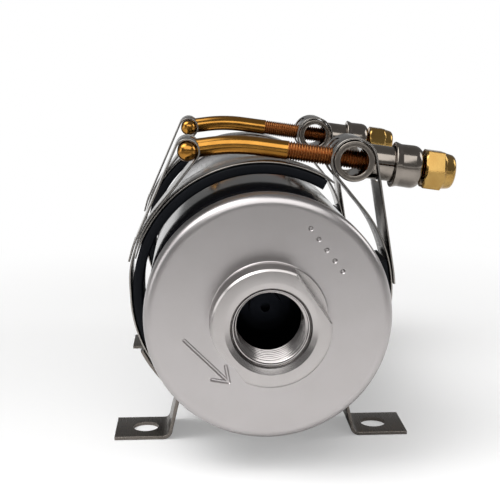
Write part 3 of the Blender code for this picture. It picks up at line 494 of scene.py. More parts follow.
# Cold-rolled stainless strip: bright, with faint rolling lines along it
STAINLESS = Finish("rolled_stainless_strip", "#9C9893", "#86827D", 1.0, 0.16, 0.24, 7 * MM, 0.5 * MM,
                   0.0004 * MM, Axis.ALONG_X)
# The thicker strip of the feet: duller, darker mill finish
FOOT_STEEL = Finish("mill_finish_stainless", "#7C7670", "#69635E", 1.0, 0.24, 0.34, 8 * MM, 0.6 * MM,
                    0.0008 * MM, Axis.ALONG_Y)
# Yellow chromate over zinc: gold that drifts towards brown, with a soft gloss
YELLOW_ZINC = Finish("yellow_zinc_plate", "#C08C40", "#90622A", 1.0, 0.14, 0.2, 5 * MM, 0.35 * MM,
                     0.0004 * MM)
# The same plating, thinner and paler, on a machined nut
PALE_ZINC = Finish("pale_zinc_plate", "#B89A5C", "#9A733B", 1.0, 0.14, 0.2, 5 * MM, 0.35 * MM,
                   0.0004 * MM)
# The same plating on a rolled thread, painted darker and browner all over the thread as painted shade of
# its roots
ZINC_THREAD_PAINTED_SHADE = Finish("yellow_zinc_thread", "#A8713F", "#8A5430", 1.0, 0.26, 0.34, 3 * MM, 0.25 * MM,
                     0.0006 * MM)
# Tumbled and polished steel: nearly a mirror, with soft waves
POLISHED_STEEL = Finish("tumbled_polished_steel", "#948D85", "#78716A", 1.0, 0.12, 0.18, 6 * MM,
                        0.6 * MM, 0.0006 * MM)
# Moulded nitrile rubber: matte blue-black with a fine grain
RUBBER = Finish("moulded_rubber", "#070A0F", "#0B0E14", 0.0, 0.55, 0.66, 4 * MM, 0.4 * MM, 0.004 * MM,
                sheen=0.15)
# Milled and ground steel: light grey with a dull, even gloss
MACHINED_STEEL = Finish("machined_steel", "#8F8D8B", "#7B7977", 1.0, 0.26, 0.38, 5 * MM, 0.3 * MM,
                        0.004 * MM)
# Oil-tempered spring wire: dark grey with a soft gloss from the drawing die
SPRING_STEEL = Finish("oil_tempered_spring_wire", "#6B6864", "#585551", 1.0, 0.2, 0.28, 3 * MM, 0.3 * MM,
                      0.0008 * MM)
# Steel blackened in a hot oxide bath: nearly black, with a dull steel sheen
BLACK_OXIDE = Finish("black_oxide_steel", "#1B1D22", "#14161A", 1.0, 0.34, 0.44, 4 * MM, 0.3 * MM,
                     0.001 * MM)
# Sintered, oil-soaked bronze: brown and slightly porous
SINTERED_BRONZE = Finish("sintered_bronze", "#A5764A", "#8A6040", 1.0, 0.38, 0.5, 2 * MM, 0.2 * MM,
                         0.01 * MM)
# Enamelled copper wire under varnish: warm red-brown, with the wires' ridges and a wet shine
COPPER = Finish("enamelled_copper", "#B8693F", "#9A5230", 1.0, 0.28, 0.42, 2 * MM, 0.5 * MM, 0.05 * MM)
# Turned brass: clear yellow, bright where the tool passed
BRASS = Finish("turned_brass", "#C9A65C", "#B8924A", 1.0, 0.2, 0.3, 4 * MM, 0.25 * MM, 0.003 * MM)
# Fired ferrite: dark grey and matte like slate
FERRITE = Finish("fired_ferrite", "#3A3A3C", "#2E2E30", 0.0, 0.55, 0.7, 3 * MM, 0.3 * MM, 0.01 * MM)
# Pressed carbon brush: black with a graphite glint
CARBON = Finish("pressed_carbon", "#2A2A2B", "#38383A", 0.0, 0.4, 0.6, 2 * MM, 0.2 * MM, 0.01 * MM)
# Moulded nylon: black, slightly grained
NYLON = Finish("moulded_nylon", "#1B1B1C", "#232324", 0.0, 0.38, 0.5, 5 * MM, 0.4 * MM, 0.01 * MM)

# Finish of the CAD nodes that still show, by the record's slot, and of single nodes
SLOT_FINISH = {
    "rubber": RUBBER, "steel": MACHINED_STEEL, "bronze": SINTERED_BRONZE, "copper": COPPER,
    "brass": BRASS, "ferrite": FERRITE, "carbon": CARBON, "black_nylon": NYLON,
}
NODE_FINISH = {"inlet_port_plate": BLACK_OXIDE, "armature_shaft": BLACK_OXIDE}
NODE_SLOT = {row["node"]: row["material_slot"] for row in frame["record"]["subparts"]}
NODE_BODY = {node: body for body, nodes in frame["record"]["behaviour"]["bodies"].items()
             for node in nodes}

# The pump axis, from the body tube's own box
TUBE_LOW, TUBE_HIGH = (np.array(corner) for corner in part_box("body_tube"))
AXIS_X, AXIS_Z = ((TUBE_LOW + TUBE_HIGH) / 2)[[0, 2]]
INLET_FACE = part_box("inlet_cap")[0].y
OUTLET_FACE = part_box("outlet_cap")[1].y
X, Y, Z = np.eye(3)
INLET = Place(np.array([AXIS_X, INLET_FACE, AXIS_Z]), X, Z, Y)
OUTLET = Place(np.array([AXIS_X, OUTLET_FACE, AXIS_Z]), X, Z, -Y)


def dress(piece: bpy.types.Object, node: str, finish: Finish, stands_for: bool = True) -> None:
    """Give a piece its material, and its body from the CAD node that it stands for or sits on.

    Args:
        piece: The new piece.
        node: The CAD node.
        finish: The surface to give it.
        stands_for: The node is hidden and this piece takes its place.
    """
    piece.data.materials.clear()
    piece.data.materials.append(finish.make())
    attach(piece, NODE_BODY[node])
    if stands_for:
        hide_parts(node)
    LOG.info("%s: %d faces, %s", piece.name, len(piece.data.polygons), finish.name)


# The pump


class End(Enum):
    """End of the pump that a cap closes."""

    INLET = "inlet"
    OUTLET = "outlet"


@dataclass
class EndCap:
    """Turned cap with a boss, two wrench flats and a threaded port; heights are from its face."""

    end: End
    place: Place
    radius: float = 38.1 * MM
    rim: float = 3.0 * MM
    shoulder: float = 20.0 * MM
    boss: float = 18.0 * MM
    boss_height: float = 10.5 * MM
    chamfer: float = 0.6 * MM
    flats: float = 31.0 * MM
    flats_step: float = 1.0 * MM
    flats_angle: float = 35.0
    broken_edge: float = 0.35 * MM
    support: float = 0.4 * MM           # rings beside a rounded edge that keep the face flat
    edge_round: float = 0.1 * MM
    root_round: float = 0.4 * MM
    inner_round: float = 0.3 * MM
    bore_round: float = 0.5 * MM
    bevel: float = 13.9 * MM
    bevel_depth: float = 0.8 * MM
    bevel_round: float = 0.25 * MM
    seat: float = 12.2 * MM
    seat_cone: float = 1.9 * MM         # height of the cone from the seat to the thread
    thread_root: float = 11.1 * MM
    thread_crest: float = 10.15 * MM
    thread_gaps: Pair = (1.0 * MM, 0.4 * MM)   # plain bore before and after it
    thread_fades: Pair = (2.0 * MM, 1.0 * MM)  # run in and run out
    thread_sunk: float = 0.02 * MM      # its roots lie this far inside the cap's wall
    thread_back: float = 0.3 * MM
    thread_rings: int = 140
    thread_steps: int = 160
    pitch: float = 25.4 / 14 * MM
    port_depth: float = 16.0 * MM
    spigot: float = 33.4 * MM
    spigot_end: float = 34.0 * MM
    bore: float = 27.0 * MM
    steps: int = 240

    def angles(self) -> Array:
        """Even angles round the cap, with the four corners of the wrench flats among them.

        Returns:
            Angles in radians, in order.
        """
        reach = math.acos(self.flats / 2 / self.boss)
        middle = math.radians(self.flats_angle)
        corners = np.array([middle - reach, middle + reach]) + np.array([[0.0], [math.pi]])
        every = np.concatenate([full_turn(self.steps), corners.ravel() % (2 * math.pi)])
        return np.unique(every.round(9))

    def build(self) -> None:
        """Make the cap and its thread.

        The boss's radius is the lesser of its own and the flats' half width / |cos(a - flats angle)|,
        and the flats draw in by their broken edge's width at the face.
        """
        e, top, edge = self.chamfer, self.boss_height, self.broken_edge
        flat_end = top - self.flats_step
        side = fillet_path([(self.seat, self.bevel_depth, 0.0), (self.bevel, 0.0, self.bevel_round),
                            (self.boss - e, 0.0, self.edge_round), (self.boss - e + edge, edge, 0.0),
                            (self.boss, e, self.edge_round), (self.boss, flat_end, 0.0)])
        deep = self.port_depth if self.end is End.INLET else top + self.port_depth
        soft = self.inner_round
        rest = fillet_path([(self.boss, flat_end, 0.0), (self.boss, top, self.root_round),
                            (self.boss + 2 * self.support, top, 0.0),
                            (self.radius - self.rim - self.support, top, 0.0),
                            (self.radius, top, self.rim), (self.radius, self.shoulder, soft),
                            (self.spigot, self.shoulder, 0.0), (self.spigot, self.spigot_end, soft),
                            (self.bore, self.spigot_end, soft), (self.bore, deep, self.bore_round),
                            (self.thread_root, deep, soft),
                            (self.thread_root, self.bevel_depth + self.seat_cone, 0.0),
                            (self.seat, self.bevel_depth, 0.0)], points=9)
        angles = self.angles()
        lean = np.abs(np.cos(angles - math.radians(self.flats_angle)))[:, None]
        flat = (self.flats / 2 - np.clip(edge - side[:, 1], 0.0, edge)) / lean
        grid = np.concatenate([turn_grid(self.place, side, angles, flat),
                               turn_grid(self.place, rest[:-1], angles)], axis=1)
        name = f"{self.end.value}_cap"
        cap = add_surface(f"{name}_turned", grid, closed_rows=True)
        if self.end is End.INLET:
            cut(cap, *FlowMark(top).tools(), sharp=STRUCK_SHARP)
        dress(cap, name, SATIN_ALUMINIUM)
        self.turn_marks(cap)
        self.build_thread(name)

    def turn_marks(self, cap: bpy.types.Object) -> None:
        """Give the boss and the port the turned finish; the rest of the cap is blasted.

        Args:
            cap: The finished cap.
        """
        cap.data.materials.append(TURNED_ALUMINIUM.make())
        count = len(cap.data.polygons)
        centres = np.empty(count * 3)
        cap.data.polygons.foreach_get("center", centres)
        local = centres.reshape(-1, 3) - self.place.origin
        radius = np.hypot(local @ self.place.across, local @ self.place.up)
        depth = local @ self.place.along
        turned_part = (radius < self.boss + self.edge_round / 2) & (depth < self.shoulder)
        cap.data.polygons.foreach_set("material_index", turned_part.astype(np.int32))

    def build_thread(self, name: str) -> None:
        """Screw thread in the port: radius = root - wave x depth, on fine rings down the port.

        Args:
            name: CAD node of the cap.
        """
        start, end = self.bevel_depth + self.thread_gaps[0], self.port_depth - self.thread_gaps[1]
        along = np.linspace(start, end, self.thread_rings)
        angles = full_turn(self.thread_steps)
        run_in, run_out = self.thread_fades
        fade = smooth_step((along - start) / run_in) * smooth_step((end - along) / run_out)
        wave = thread_wave(along[None], angles[:, None], self.pitch) * fade
        wall = self.thread_root + self.thread_sunk
        back = np.full((len(angles), 2), wall + self.thread_back)
        radius = np.concatenate([wall - (wall - self.thread_crest) * wave, back], axis=1)
        points = round_points(radius, angles, np.concatenate([along, along[[-1, 0]]]))
        piece = add_surface(f"{name}_thread", self.place.put(points), closed_rows=True,
                            sharp=THREAD_SHARP)
        dress(piece, name, TURNED_ALUMINIUM, stands_for=False)


@dataclass
class FlowMark:
    """Plain struck marks on the inlet cap: a flow arrow of three strokes and a row of dots."""

    face: float
    sink: float = 0.45 * MM
    clear: float = 0.3 * MM
    line: float = 0.62 * MM     # half of a stroke's width at the face
    dot: float = 0.8 * MM
    spread: float = 0.42 * MM   # of a stroke's walls from its bottom to the face
    arrow_tail: Pair = (-25.6 * MM, -6.0 * MM)
    arrow_tip: Pair = (-12.2 * MM, -19.4 * MM)
    barb: float = 5.2 * MM
    barb_angle: float = 145.0
    dots: int = 5
    first_dot: Pair = (12.4 * MM, 28.0 * MM)
    last_dot: Pair = (22.2 * MM, 14.8 * MM)

    def stroke(self, name: str, start: Array, end: Array, half: float) -> bpy.types.Object:
        """Tool of a round-ended stroke whose walls spread from its bottom to above the face.

        The outline at each height is a half circle round each end; its radius grows evenly with height.

        Args:
            name: Name of the tool.
            start: First end across and up from the pump axis.
            end: Other end.
            half: Half of the stroke's width at the face.

        Returns:
            The closed tool.
        """
        heights = np.array([self.sink, 0.0, -self.clear])
        radius = half - self.spread * heights / self.sink
        heading = math.degrees(math.atan2(*(end - start)[::-1]))
        turn = np.linspace(-90.0, 90.0, 13)
        ends = np.concatenate([polar(1.0, heading + turn), polar(1.0, heading + 180.0 + turn)])
        centres = np.repeat([end, start], len(turn), axis=0)
        flat = centres + ends * radius[:, None, None]
        depth = np.broadcast_to((self.face + heights)[:, None, None], (*flat.shape[:2], 1))
        return add_surface(name, INLET.put(np.concatenate([flat, depth], axis=-1)), capped=True)

    def tools(self) -> list[bpy.types.Object]:
        """Tools of the arrow's shaft and barbs and of the dots.

        Returns:
            Closed meshes to cut out of the cap.
        """
        tail, tip = np.array(self.arrow_tail), np.array(self.arrow_tip)
        heading = math.degrees(math.atan2(*(tip - tail)[::-1]))
        tools = [self.stroke("arrow_shaft", tail, tip, self.line)]
        for turn in (-self.barb_angle, self.barb_angle):
            barb = tip + polar(self.barb, heading + turn)
            tools.append(self.stroke("arrow_barb", tip, barb, self.line))
        for spot in np.linspace(self.first_dot, self.last_dot, self.dots):
            tools.append(self.stroke("dot", spot, spot, self.dot))
        return tools


@dataclass
class BodyTube:
    """Black anodised tube between the caps, with a small chamfer at each end."""

    wall: float = 4.0 * MM
    edge: float = 0.5 * MM
    steps: int = 192

    def build(self) -> None:
        """Turn the tube from its own box."""
        radius = (TUBE_HIGH[0] - TUBE_LOW[0]) / 2
        start, end = TUBE_LOW[1] - INLET_FACE, TUBE_HIGH[1] - INLET_FACE
        inner = radius - self.wall
        corners = [(inner, start, 0.0), (radius, start, self.edge),
                   (radius, end, self.edge), (inner, end, 0.0)]
        dress(turned("body_tube_drawn", INLET, corners, self.steps), "body_tube", BLACK_ANODISED)


@dataclass
class Terminal:
    """Threaded brass stud with its insulator and hex nut on the outlet cap."""

    name: str
    stud: float = 2.5 * MM
    stud_steps: int = 40
    chamfer: float = 0.5 * MM
    tip: float = 0.8                # share of the stud's radius at its ends
    thread_length: float = 16.0 * MM
    thread_depth: float = 0.35 * MM
    thread_fade: float = 1.0 * MM
    pitch: float = 0.8 * MM
    bore: float = 2.8 * MM
    bore_round: float = 0.1 * MM
    sleeve: float = 3.9 * MM
    sleeve_round: float = 0.2 * MM
    flange: float = 5.0 * MM
    flange_height: float = 2.7 * MM
    flange_round: float = 0.5 * MM
    flange_steps: int = 64
    nut_flats: float = 8.0 * MM
    nut_bore: float = 2.55 * MM
    nut_steps: int = 96

    def build(self) -> None:
        """Make the three pieces along the stud's own axis."""
        low, high = (np.array(corner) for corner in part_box(f"{self.name}_terminal"))
        middle = (low + high) / 2
        place = Place(np.array([middle[0], low[1], middle[2]]), X, Z, Y)
        self.build_stud(place, high[1] - low[1])
        start, end = self.span("insulator", low[1])
        neck, soft = end - self.flange_height, self.sleeve_round
        outline = [(self.bore, start, 0.0), (self.sleeve, start, soft), (self.sleeve, neck, 0.0),
                   (self.flange, neck, soft), (self.flange, end, self.flange_round),
                   (self.bore, end, self.bore_round)]
        dress(turned(f"{self.name}_insulator_moulded", place, outline, self.flange_steps),
              f"{self.name}_insulator", NYLON)
        start, end = self.span("terminal_nut", low[1])
        outline = nut_outline(self.nut_bore, self.nut_flats, start, end)
        limit = hexagon(full_turn(self.nut_steps), self.nut_flats, self.nut_flats / math.sqrt(3))
        dress(turned(f"{self.name}_nut_cut", place, outline, self.nut_steps, limit),
              f"{self.name}_terminal_nut", BRASS)

    def span(self, piece: str, start: float) -> Pair:
        """Where a piece of this terminal starts and ends along the stud."""
        low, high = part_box(f"{self.name}_{piece}")
        return low.y - start, high.y - start

    def build_stud(self, place: Place, length: float) -> None:
        """Stud whose outer part has a thread: radius = stud - depth x (1 - wave).

        Args:
            place: Frame of the stud's axis, at its inner end.
            length: Length of the stud.
        """
        plain, full = length - self.thread_length, length - self.chamfer
        along = np.concatenate([[0.0, 0.0, self.chamfer, plain],
                                np.arange(plain, full, self.pitch / 8), [full, length, length]])
        angles = full_turn(self.stud_steps)
        wave = thread_wave(along[None], angles[:, None], self.pitch)
        fade = smooth_step((along - plain) / self.thread_fade)
        ends = np.ones(len(along))
        ends[[0, -1]] = 0.0
        ends[[1, -2]] = self.tip
        radius = (self.stud - self.thread_depth * (1.0 - wave) * fade) * ends
        grid = np.swapaxes(place.put(round_points(radius, angles, along)), 0, 1)
        piece = add_surface(f"{self.name}_stud_threaded", grid, sharp=THREAD_SHARP)
        dress(piece, f"{self.name}_terminal", BRASS)


@dataclass
class CoilSpring:
    """Compression spring inside the pump, coiled at the length of its CAD node along its joint's axis.
    """

    node: str
    joint: str
    wire: float = 0.3 * MM
    turns: int = 3
    turn_steps: int = 36
    wire_steps: int = 12

    def build(self) -> None:
        """Carry a round wire along a helix: radius (cos a, sin a) across and an eased rise along.

        The rise is a smooth step of the turns, so that the end turns lie flat, and the wire's circle
        stands on the radius and on the tangent crossed with it.
        """
        row = next(row for row in frame["record"]["behaviour"]["joints"] if row["name"] == self.joint)
        axis = np.array(row["axis"], float)
        low, high = (np.array(corner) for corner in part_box(self.node))
        length = np.abs((high - low) @ axis)
        start = (low + high) / 2 - axis * length / 2
        radius = (high - low)[2] / 2 - self.wire
        share = np.linspace(0.0, 1.0, self.turn_steps * self.turns)
        turn = share * self.turns * 2 * math.pi
        rise = self.wire + (length - 2 * self.wire) * smooth_step(share)
        out = np.stack([np.cos(turn), np.sin(turn), np.zeros_like(turn)], axis=-1)
        path = out * radius + np.stack([0 * rise, 0 * rise, rise], axis=-1)
        side = np.cross(unit(np.gradient(path, axis=0)), out)
        angles = full_turn(self.wire_steps)[:, None]
        circle = out[:, None] * np.cos(angles) + side[:, None] * np.sin(angles)
        tube = path[:, None] + self.wire * circle
        place = Place(start, Z, np.cross(axis, Z), axis)
        piece = add_surface(f"{self.node}_coiled", place.put(tube), capped=True)
        dress(piece, self.node, SPRING_STEEL)
        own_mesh(piece)


def hexagon(angles: Array, flats: float, corner: float) -> Array:
    """Radius of a hexagon at each angle: half its width / cos of the angle from the nearest flat."""
    from_flat = angles % (math.pi / 3) - math.pi / 6
    return np.minimum(flats / 2 / np.cos(from_flat), corner - HEX_CUT)


def nut_outline(bore: float, flats: float, start: float, end: float) -> list[Corner]:
    """Outline of a plain nut with 30 degree chamfers at both faces.

    Args:
        bore: Radius of the hole.
        flats: Width across flats.
        start: Height of the first face.
        end: Height of the other face.

    Returns:
        Radius, height and corner radius of each corner.
    """
    corner, face, soft = flats / math.sqrt(3), flats / 2 * 0.97, 0.1 * MM
    slope = (corner - face) * 0.58
    return [(bore, start, soft), (face, start, soft), (corner, start + slope, soft),
            (corner, end - slope, soft), (face, end, soft), (bore, end, soft)]


# The clamps


class Side(Enum):
    """Side of a clamp seen from the inlet end."""

    LEFT = 1.0
    RIGHT = -1.0


@dataclass
class Clamp:
    """Loose T-bolt clamp: liner, bridge, strap with two loops, bolt set and two feet."""

    name: str
    strap: float = 0.64 * MM
    bridge: float = 0.5 * MM
    gap: float = 0.3 * MM
    slack: float = 0.4 * MM
    liner: float = 3.3 * MM
    liner_bore: float = 39.4 * MM
    ring_lift: float = 1.4 * MM
    liner_span: Pair = (60.0, 374.0)
    bridge_span: Pair = (57.0, 164.0)
    step_out: Pair = (166.0, 182.0)
    pin_ring: float = 52.7 * MM
    left_angle: float = 117.5
    right_angle: float = 55.2
    left_fold: float = 166.0
    right_fold: float = 3.0
    bolt: float = 3.175 * MM
    bolt_rise: float = 7.0
    bolt_fall: float = 7.9
    bolt_bend: float = 60.0 * MM
    crossbar: float = 23.5 * MM
    thread_start: float = 33.5 * MM
    thread_pitch: float = 25.4 / 28 * MM
    thread_depth: float = 0.5 * MM
    trunnion: float = 6.7 * MM
    trunnion_wall: float = 2.0 * MM
    sleeve: float = 5.8 * MM
    sleeve_end: float = 16.5 * MM
    cap: float = 7.8 * MM
    cap_start: float = 14.2 * MM
    cap_length: float = 10.0 * MM
    nut_flats: float = 12.7 * MM
    nut_length: float = 10.6 * MM
    collar: float = 6.1 * MM
    collar_length: float = 3.6 * MM
    foot: float = 1.2 * MM
    foot_span: float = 100.0 * MM
    foot_bend_span: float = 63.0 * MM
    foot_hole_spacing: float = 79.5 * MM
    foot_hole: float = 4.4 * MM
    foot_bend: float = 2.6 * MM
    saddle: Pair = (206.0, 228.0)
    weld: float = 2.0 * MM
    weld_sunk: float = 0.05 * MM
    weld_heights: Corner = (0.02 * MM, 0.03 * MM, 0.11 * MM)    # middle, dish and ring
    weld_inset: float = 5.0  # degrees from a fold's end
    ring_step: float = 2.0  # degrees between points of a ring
    loop_steps: Pair = (6.0, 5.0)  # the same round the two loops
    ring_points: int = 150
    liner_edge: float = 0.7 * MM
    bridge_edge: float = 0.2 * MM
    strap_edge: float = 0.22 * MM
    slot_edges: Pair = (2.0 * MM, 2.5 * MM)
    foot_edge: float = 0.3 * MM
    foot_bevel: float = 0.12 * MM
    bolt_steps: int = 48
    bolt_short: float = 0.3 * MM  # from its end to the nut's face
    crossbar_round: float = 2.6 * MM
    shank_relief: float = 0.05 * MM
    shank_points: int = 60
    thread_overlap: float = 0.5 * MM
    thread_fade: float = 1.2 * MM
    bore_round: float = 0.2 * MM
    mouth_round: float = 0.3 * MM
    lip_round: float = 0.4 * MM
    sleeve_sunk: float = 0.6 * MM
    sleeve_seam: float = 2.5  # degrees of open seam on each side
    cap_waist: Corner = (0.7 * MM, 2.2 * MM, 2.0 * MM)  # depth, height and radius behind the lip
    cap_crown: Pair = (0.5 * MM, 3.4 * MM)  # draw-in and radius
    nut_steps: int = 120
    nut_face: float = 0.96  # share of the flats' width
    nut_chamfers: Pair = (0.7 * MM, 0.9 * MM)
    nut_rounds: Pair = (0.15 * MM, 0.2 * MM)
    collar_dome: Pair = (0.6 * MM, 1.8 * MM)     # draw-in and radius

    def __post_init__(self) -> None:
        """Take the width and the place along the pump from the CAD strap."""
        low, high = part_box(f"{self.name}_strap")
        self.width = high.y - low.y
        self.middle = (high.y + low.y) / 2
        self.centre = np.array([0.0, self.ring_lift])
        self.origin = np.array([AXIS_X, self.middle, AXIS_Z])
        self.strap_ring = self.liner_bore + self.liner + self.gap + self.strap / 2
        self.left = polar(self.pin_ring, self.left_angle, self.centre)
        self.right = polar(self.pin_ring, self.right_angle, self.centre)
        fall = math.radians(self.bolt_fall)
        along = np.array([math.cos(fall), 0.0, -math.sin(fall)])
        self.bolt_place = Place(self.at(self.right), Y, np.cross(along, Y), along)
        self.nut_start = self.cap_start + self.cap_length + self.gap

    def at(self, point: Array) -> Array:
        """World point of a point across and up from the pump axis, on the clamp's middle."""
        return self.origin + np.array([point[0], 0.0, point[1]])

    def cross_place(self, point: Array) -> Place:
        """Frame of a round piece that lies along Y at a point."""
        return Place(self.at(point), X, Z, Y)

    def strip(self, name: str, path: Array, thickness: float, edge: float,
              width: float | None = None) -> bpy.types.Object:
        """Strip of the clamp's width, or of another, along a path."""
        grid = strip_grid(path, thickness, width or self.width, self.middle, edge, self.origin)
        return add_surface(name, grid, capped=True)

    def build(self) -> None:
        """Make every piece of the clamp."""
        self.build_liner()
        self.build_strap()
        self.build_bolt()
        self.build_trunnion()
        self.build_thrust_cap()
        self.build_nut()
        for side in Side:
            self.build_foot(side)

    def build_liner(self) -> None:
        """Rubber liner and the steel bridge over its gap, each an arc round the ring's centre."""
        radius = self.liner_bore + self.liner / 2
        path = arc(radius, *self.liner_span, self.ring_step, self.centre)
        dress(self.strip(f"{self.name}_liner_moulded", path, self.liner, self.liner_edge),
              f"{self.name}_liner", RUBBER)
        radius = self.liner_bore + self.liner + self.gap + self.bridge / 2
        path = arc(radius, *self.bridge_span, self.ring_step, self.centre)
        dress(self.strip(f"{self.name}_bridge_rolled", path, self.bridge, self.bridge_edge),
              f"{self.name}_bridge", STAINLESS)

    def strap_path(self) -> Array:
        """Strap from its left folded end, over the left loop, round the ring and over the right loop.

        A loop's inner leg leaves the ring where cos(angle from the pin) = (ring + loop) / pin ring,
        and its outer leg lies back on the ring where cos = (ring + lap - loop) / pin ring.

        Returns:
            Points across and up from the pump axis.
        """
        lift = self.bridge + self.gap
        high, low = self.strap_ring + lift, self.strap_ring
        lap = self.strap + self.gap
        small = self.bolt + self.slack + self.strap / 2
        large = self.trunnion + self.slack + self.strap / 2
        turn = [math.degrees(math.acos(reach / self.pin_ring))
                for reach in (high + small, high + lap - small, low + large, low + lap - large)]
        left_inner, left_outer = self.left_angle + turn[0], self.left_angle + turn[1]
        right_inner, right_outer = self.right_angle - turn[2], self.right_angle - turn[3]
        angles = np.linspace(left_inner, 360.0 + right_inner, self.ring_points)
        start, end = self.step_out
        ring = low + lift * smooth_step((end - angles) / (end - start))
        return np.concatenate([
            arc(high + lap, self.left_fold, left_outer, self.ring_step, self.centre),
            arc(small, left_outer, left_inner - 180.0, self.loop_steps[0], self.left),
            polar(ring, angles, self.centre),
            arc(large, right_inner + 180.0, right_outer, self.loop_steps[1], self.right),
            arc(low + lap, right_outer, self.right_fold, self.ring_step, self.centre)])

    def build_strap(self) -> None:
        """Strap with a slot in each loop where the bolt and the sleeve pass."""
        strap = self.strip(f"{self.name}_strap_formed", self.strap_path(), self.strap, self.strap_edge)
        rise = polar(1.0, self.bolt_rise)
        fall = polar(1.0, -self.bolt_fall)
        bolt = 2 * (self.bolt + self.slack)
        reach = np.array([[0.0], [4 * self.bolt]])
        left = self.strip("left_slot", self.left + reach * rise, bolt + 2 * self.slack,
                          self.slot_edges[0], bolt)
        wide = 2 * (self.sleeve + self.slack)
        reach = np.array([[-3 * self.trunnion], [3 * self.trunnion]])
        right = self.strip("right_slot", self.right + reach * fall, wide, self.slot_edges[1], wide)
        cut(strap, left, right)
        node = f"{self.name}_strap"
        dress(strap, node, STAINLESS)
        face = self.strap_ring + self.strap + self.gap + self.strap / 2
        lift = self.bridge + self.gap
        for side, radius, angle in (("right", face, self.right_fold + self.weld_inset),
                                    ("left", face + lift, self.left_fold - self.weld_inset)):
            self.build_welds(f"{self.name}_{side}_fold", node, radius, angle, STAINLESS)

    def bolt_path(self) -> Array:
        """Bolt from the crossbar to its end in the nut: two straight runs and one wide bend.

        Returns:
            Points across and up from the pump axis.
        """
        rise, fall = polar(1.0, self.bolt_rise), polar(1.0, -self.bolt_fall)
        span = self.right - self.left
        reach = (span[0] * fall[1] - span[1] * fall[0]) / (rise[0] * fall[1] - rise[1] * fall[0])
        corner = self.left + rise * reach
        end = self.right + fall * (self.nut_start + self.nut_length - self.bolt_short)
        return fillet_path([(*self.left, 0.0), (*corner, self.bolt_bend), (*end, 0.0)], points=40)

    def shank(self, name: str, lengths: Array, radius: Array, angles: Array) -> bpy.types.Object:
        """Round bar along the bolt's path: path + radius (cos a normal + sin a Y).

        Args:
            name: Name of the piece.
            lengths: Distances along the bolt.
            radius: Radius by distance and angle.
            angles: Angles round the bolt in radians.

        Returns:
            The capped piece.
        """
        path = resample(self.bolt_path(), lengths)
        flat = path[:, None] + path_normals(path)[:, None] * (radius * np.cos(angles))[..., None]
        points = np.stack([flat[..., 0], radius * np.sin(angles), flat[..., 1]], axis=-1)
        return add_surface(name, self.origin + points, capped=True, sharp=THREAD_SHARP)

    def build_bolt(self) -> None:
        """Crossbar, smooth shank and threaded shank of the T-bolt."""
        node = f"{self.name}_t_bolt"
        bar = round_bar(f"{self.name}_crossbar_headed", self.cross_place(self.left), self.bolt,
                        self.crossbar / 2, 64, self.crossbar_round)
        dress(bar, node, YELLOW_ZINC)
        angles = full_turn(self.bolt_steps)
        lengths = np.linspace(0.0, self.thread_start, self.shank_points)
        plain = np.full((len(lengths), len(angles)), self.bolt - self.shank_relief)
        smooth = self.shank(f"{self.name}_shank_smooth", lengths, plain, angles)
        dress(smooth, node, YELLOW_ZINC, stands_for=False)
        total = np.linalg.norm(np.diff(self.bolt_path(), axis=0), axis=1).sum()
        lengths = np.arange(self.thread_start - self.thread_overlap, total, self.thread_pitch / 9)
        wave = thread_wave(lengths[:, None], angles[None], self.thread_pitch)
        fade = smooth_step((total - lengths) / self.thread_fade)[:, None]
        radius = self.bolt - self.thread_depth * (1.0 - wave * fade)
        screw = self.shank(f"{self.name}_shank_threaded", lengths, radius, angles)
        # The thread's zinc carries painted shade: it is darker and browner than the shank's
        dress(screw, node, ZINC_THREAD_PAINTED_SHADE, stands_for=False)

    def build_trunnion(self) -> None:
        """Rolled cross tube and the two half sleeves that leave it along the bolt."""
        half, inner = self.width / 2, self.trunnion - self.trunnion_wall
        tube = turned(f"{self.name}_trunnion_rolled", self.cross_place(self.right),
                      [(inner, -half, self.mouth_round), (self.trunnion, -half, self.lip_round),
                       (self.trunnion, half, self.lip_round), (inner, half, self.mouth_round)])
        bore, node = self.bolt + self.slack, f"{self.name}_trunnion"
        cut(tube, round_bar("bolt_drill", self.bolt_place, bore, 2 * self.trunnion, 48))
        dress(tube, node, POLISHED_STEEL)
        start, end = self.trunnion - self.sleeve_sunk, self.sleeve_end
        profile = fillet_path([(bore, start, self.bore_round), (self.sleeve, start, self.bore_round),
                               (self.sleeve, end, self.lip_round), (bore, end, self.bore_round)])
        seam = math.radians(self.sleeve_seam)
        for part, turn in (("upper", 0.0), ("lower", math.pi)):
            grid = turn_grid(self.bolt_place, profile, np.linspace(seam, math.pi - seam, 49) + turn)
            shell = add_surface(f"{self.name}_sleeve_{part}", grid, capped=True)
            dress(shell, node, POLISHED_STEEL, stands_for=False)

    def build_thrust_cap(self) -> None:
        """Drawn cup over the sleeve's end, with a flared lip and a round crown."""
        start, end = self.cap_start, self.cap_start + self.cap_length
        mouth, bore = self.sleeve + self.slack, self.bolt + self.slack
        floor = self.sleeve_end + self.slack
        waist, rise, bend = self.cap_waist
        draw, crown = self.cap_crown
        cup = turned(f"{self.name}_thrust_cap_drawn", self.bolt_place,
                     [(mouth, start, self.mouth_round), (self.cap, start, self.lip_round),
                      (self.cap - waist, start + rise, bend), (self.cap - draw, end, crown),
                      (bore, end, self.bore_round), (bore, floor, 0.0),
                      (mouth, floor, self.mouth_round)])
        dress(cup, f"{self.name}_thrust_cap", POLISHED_STEEL)

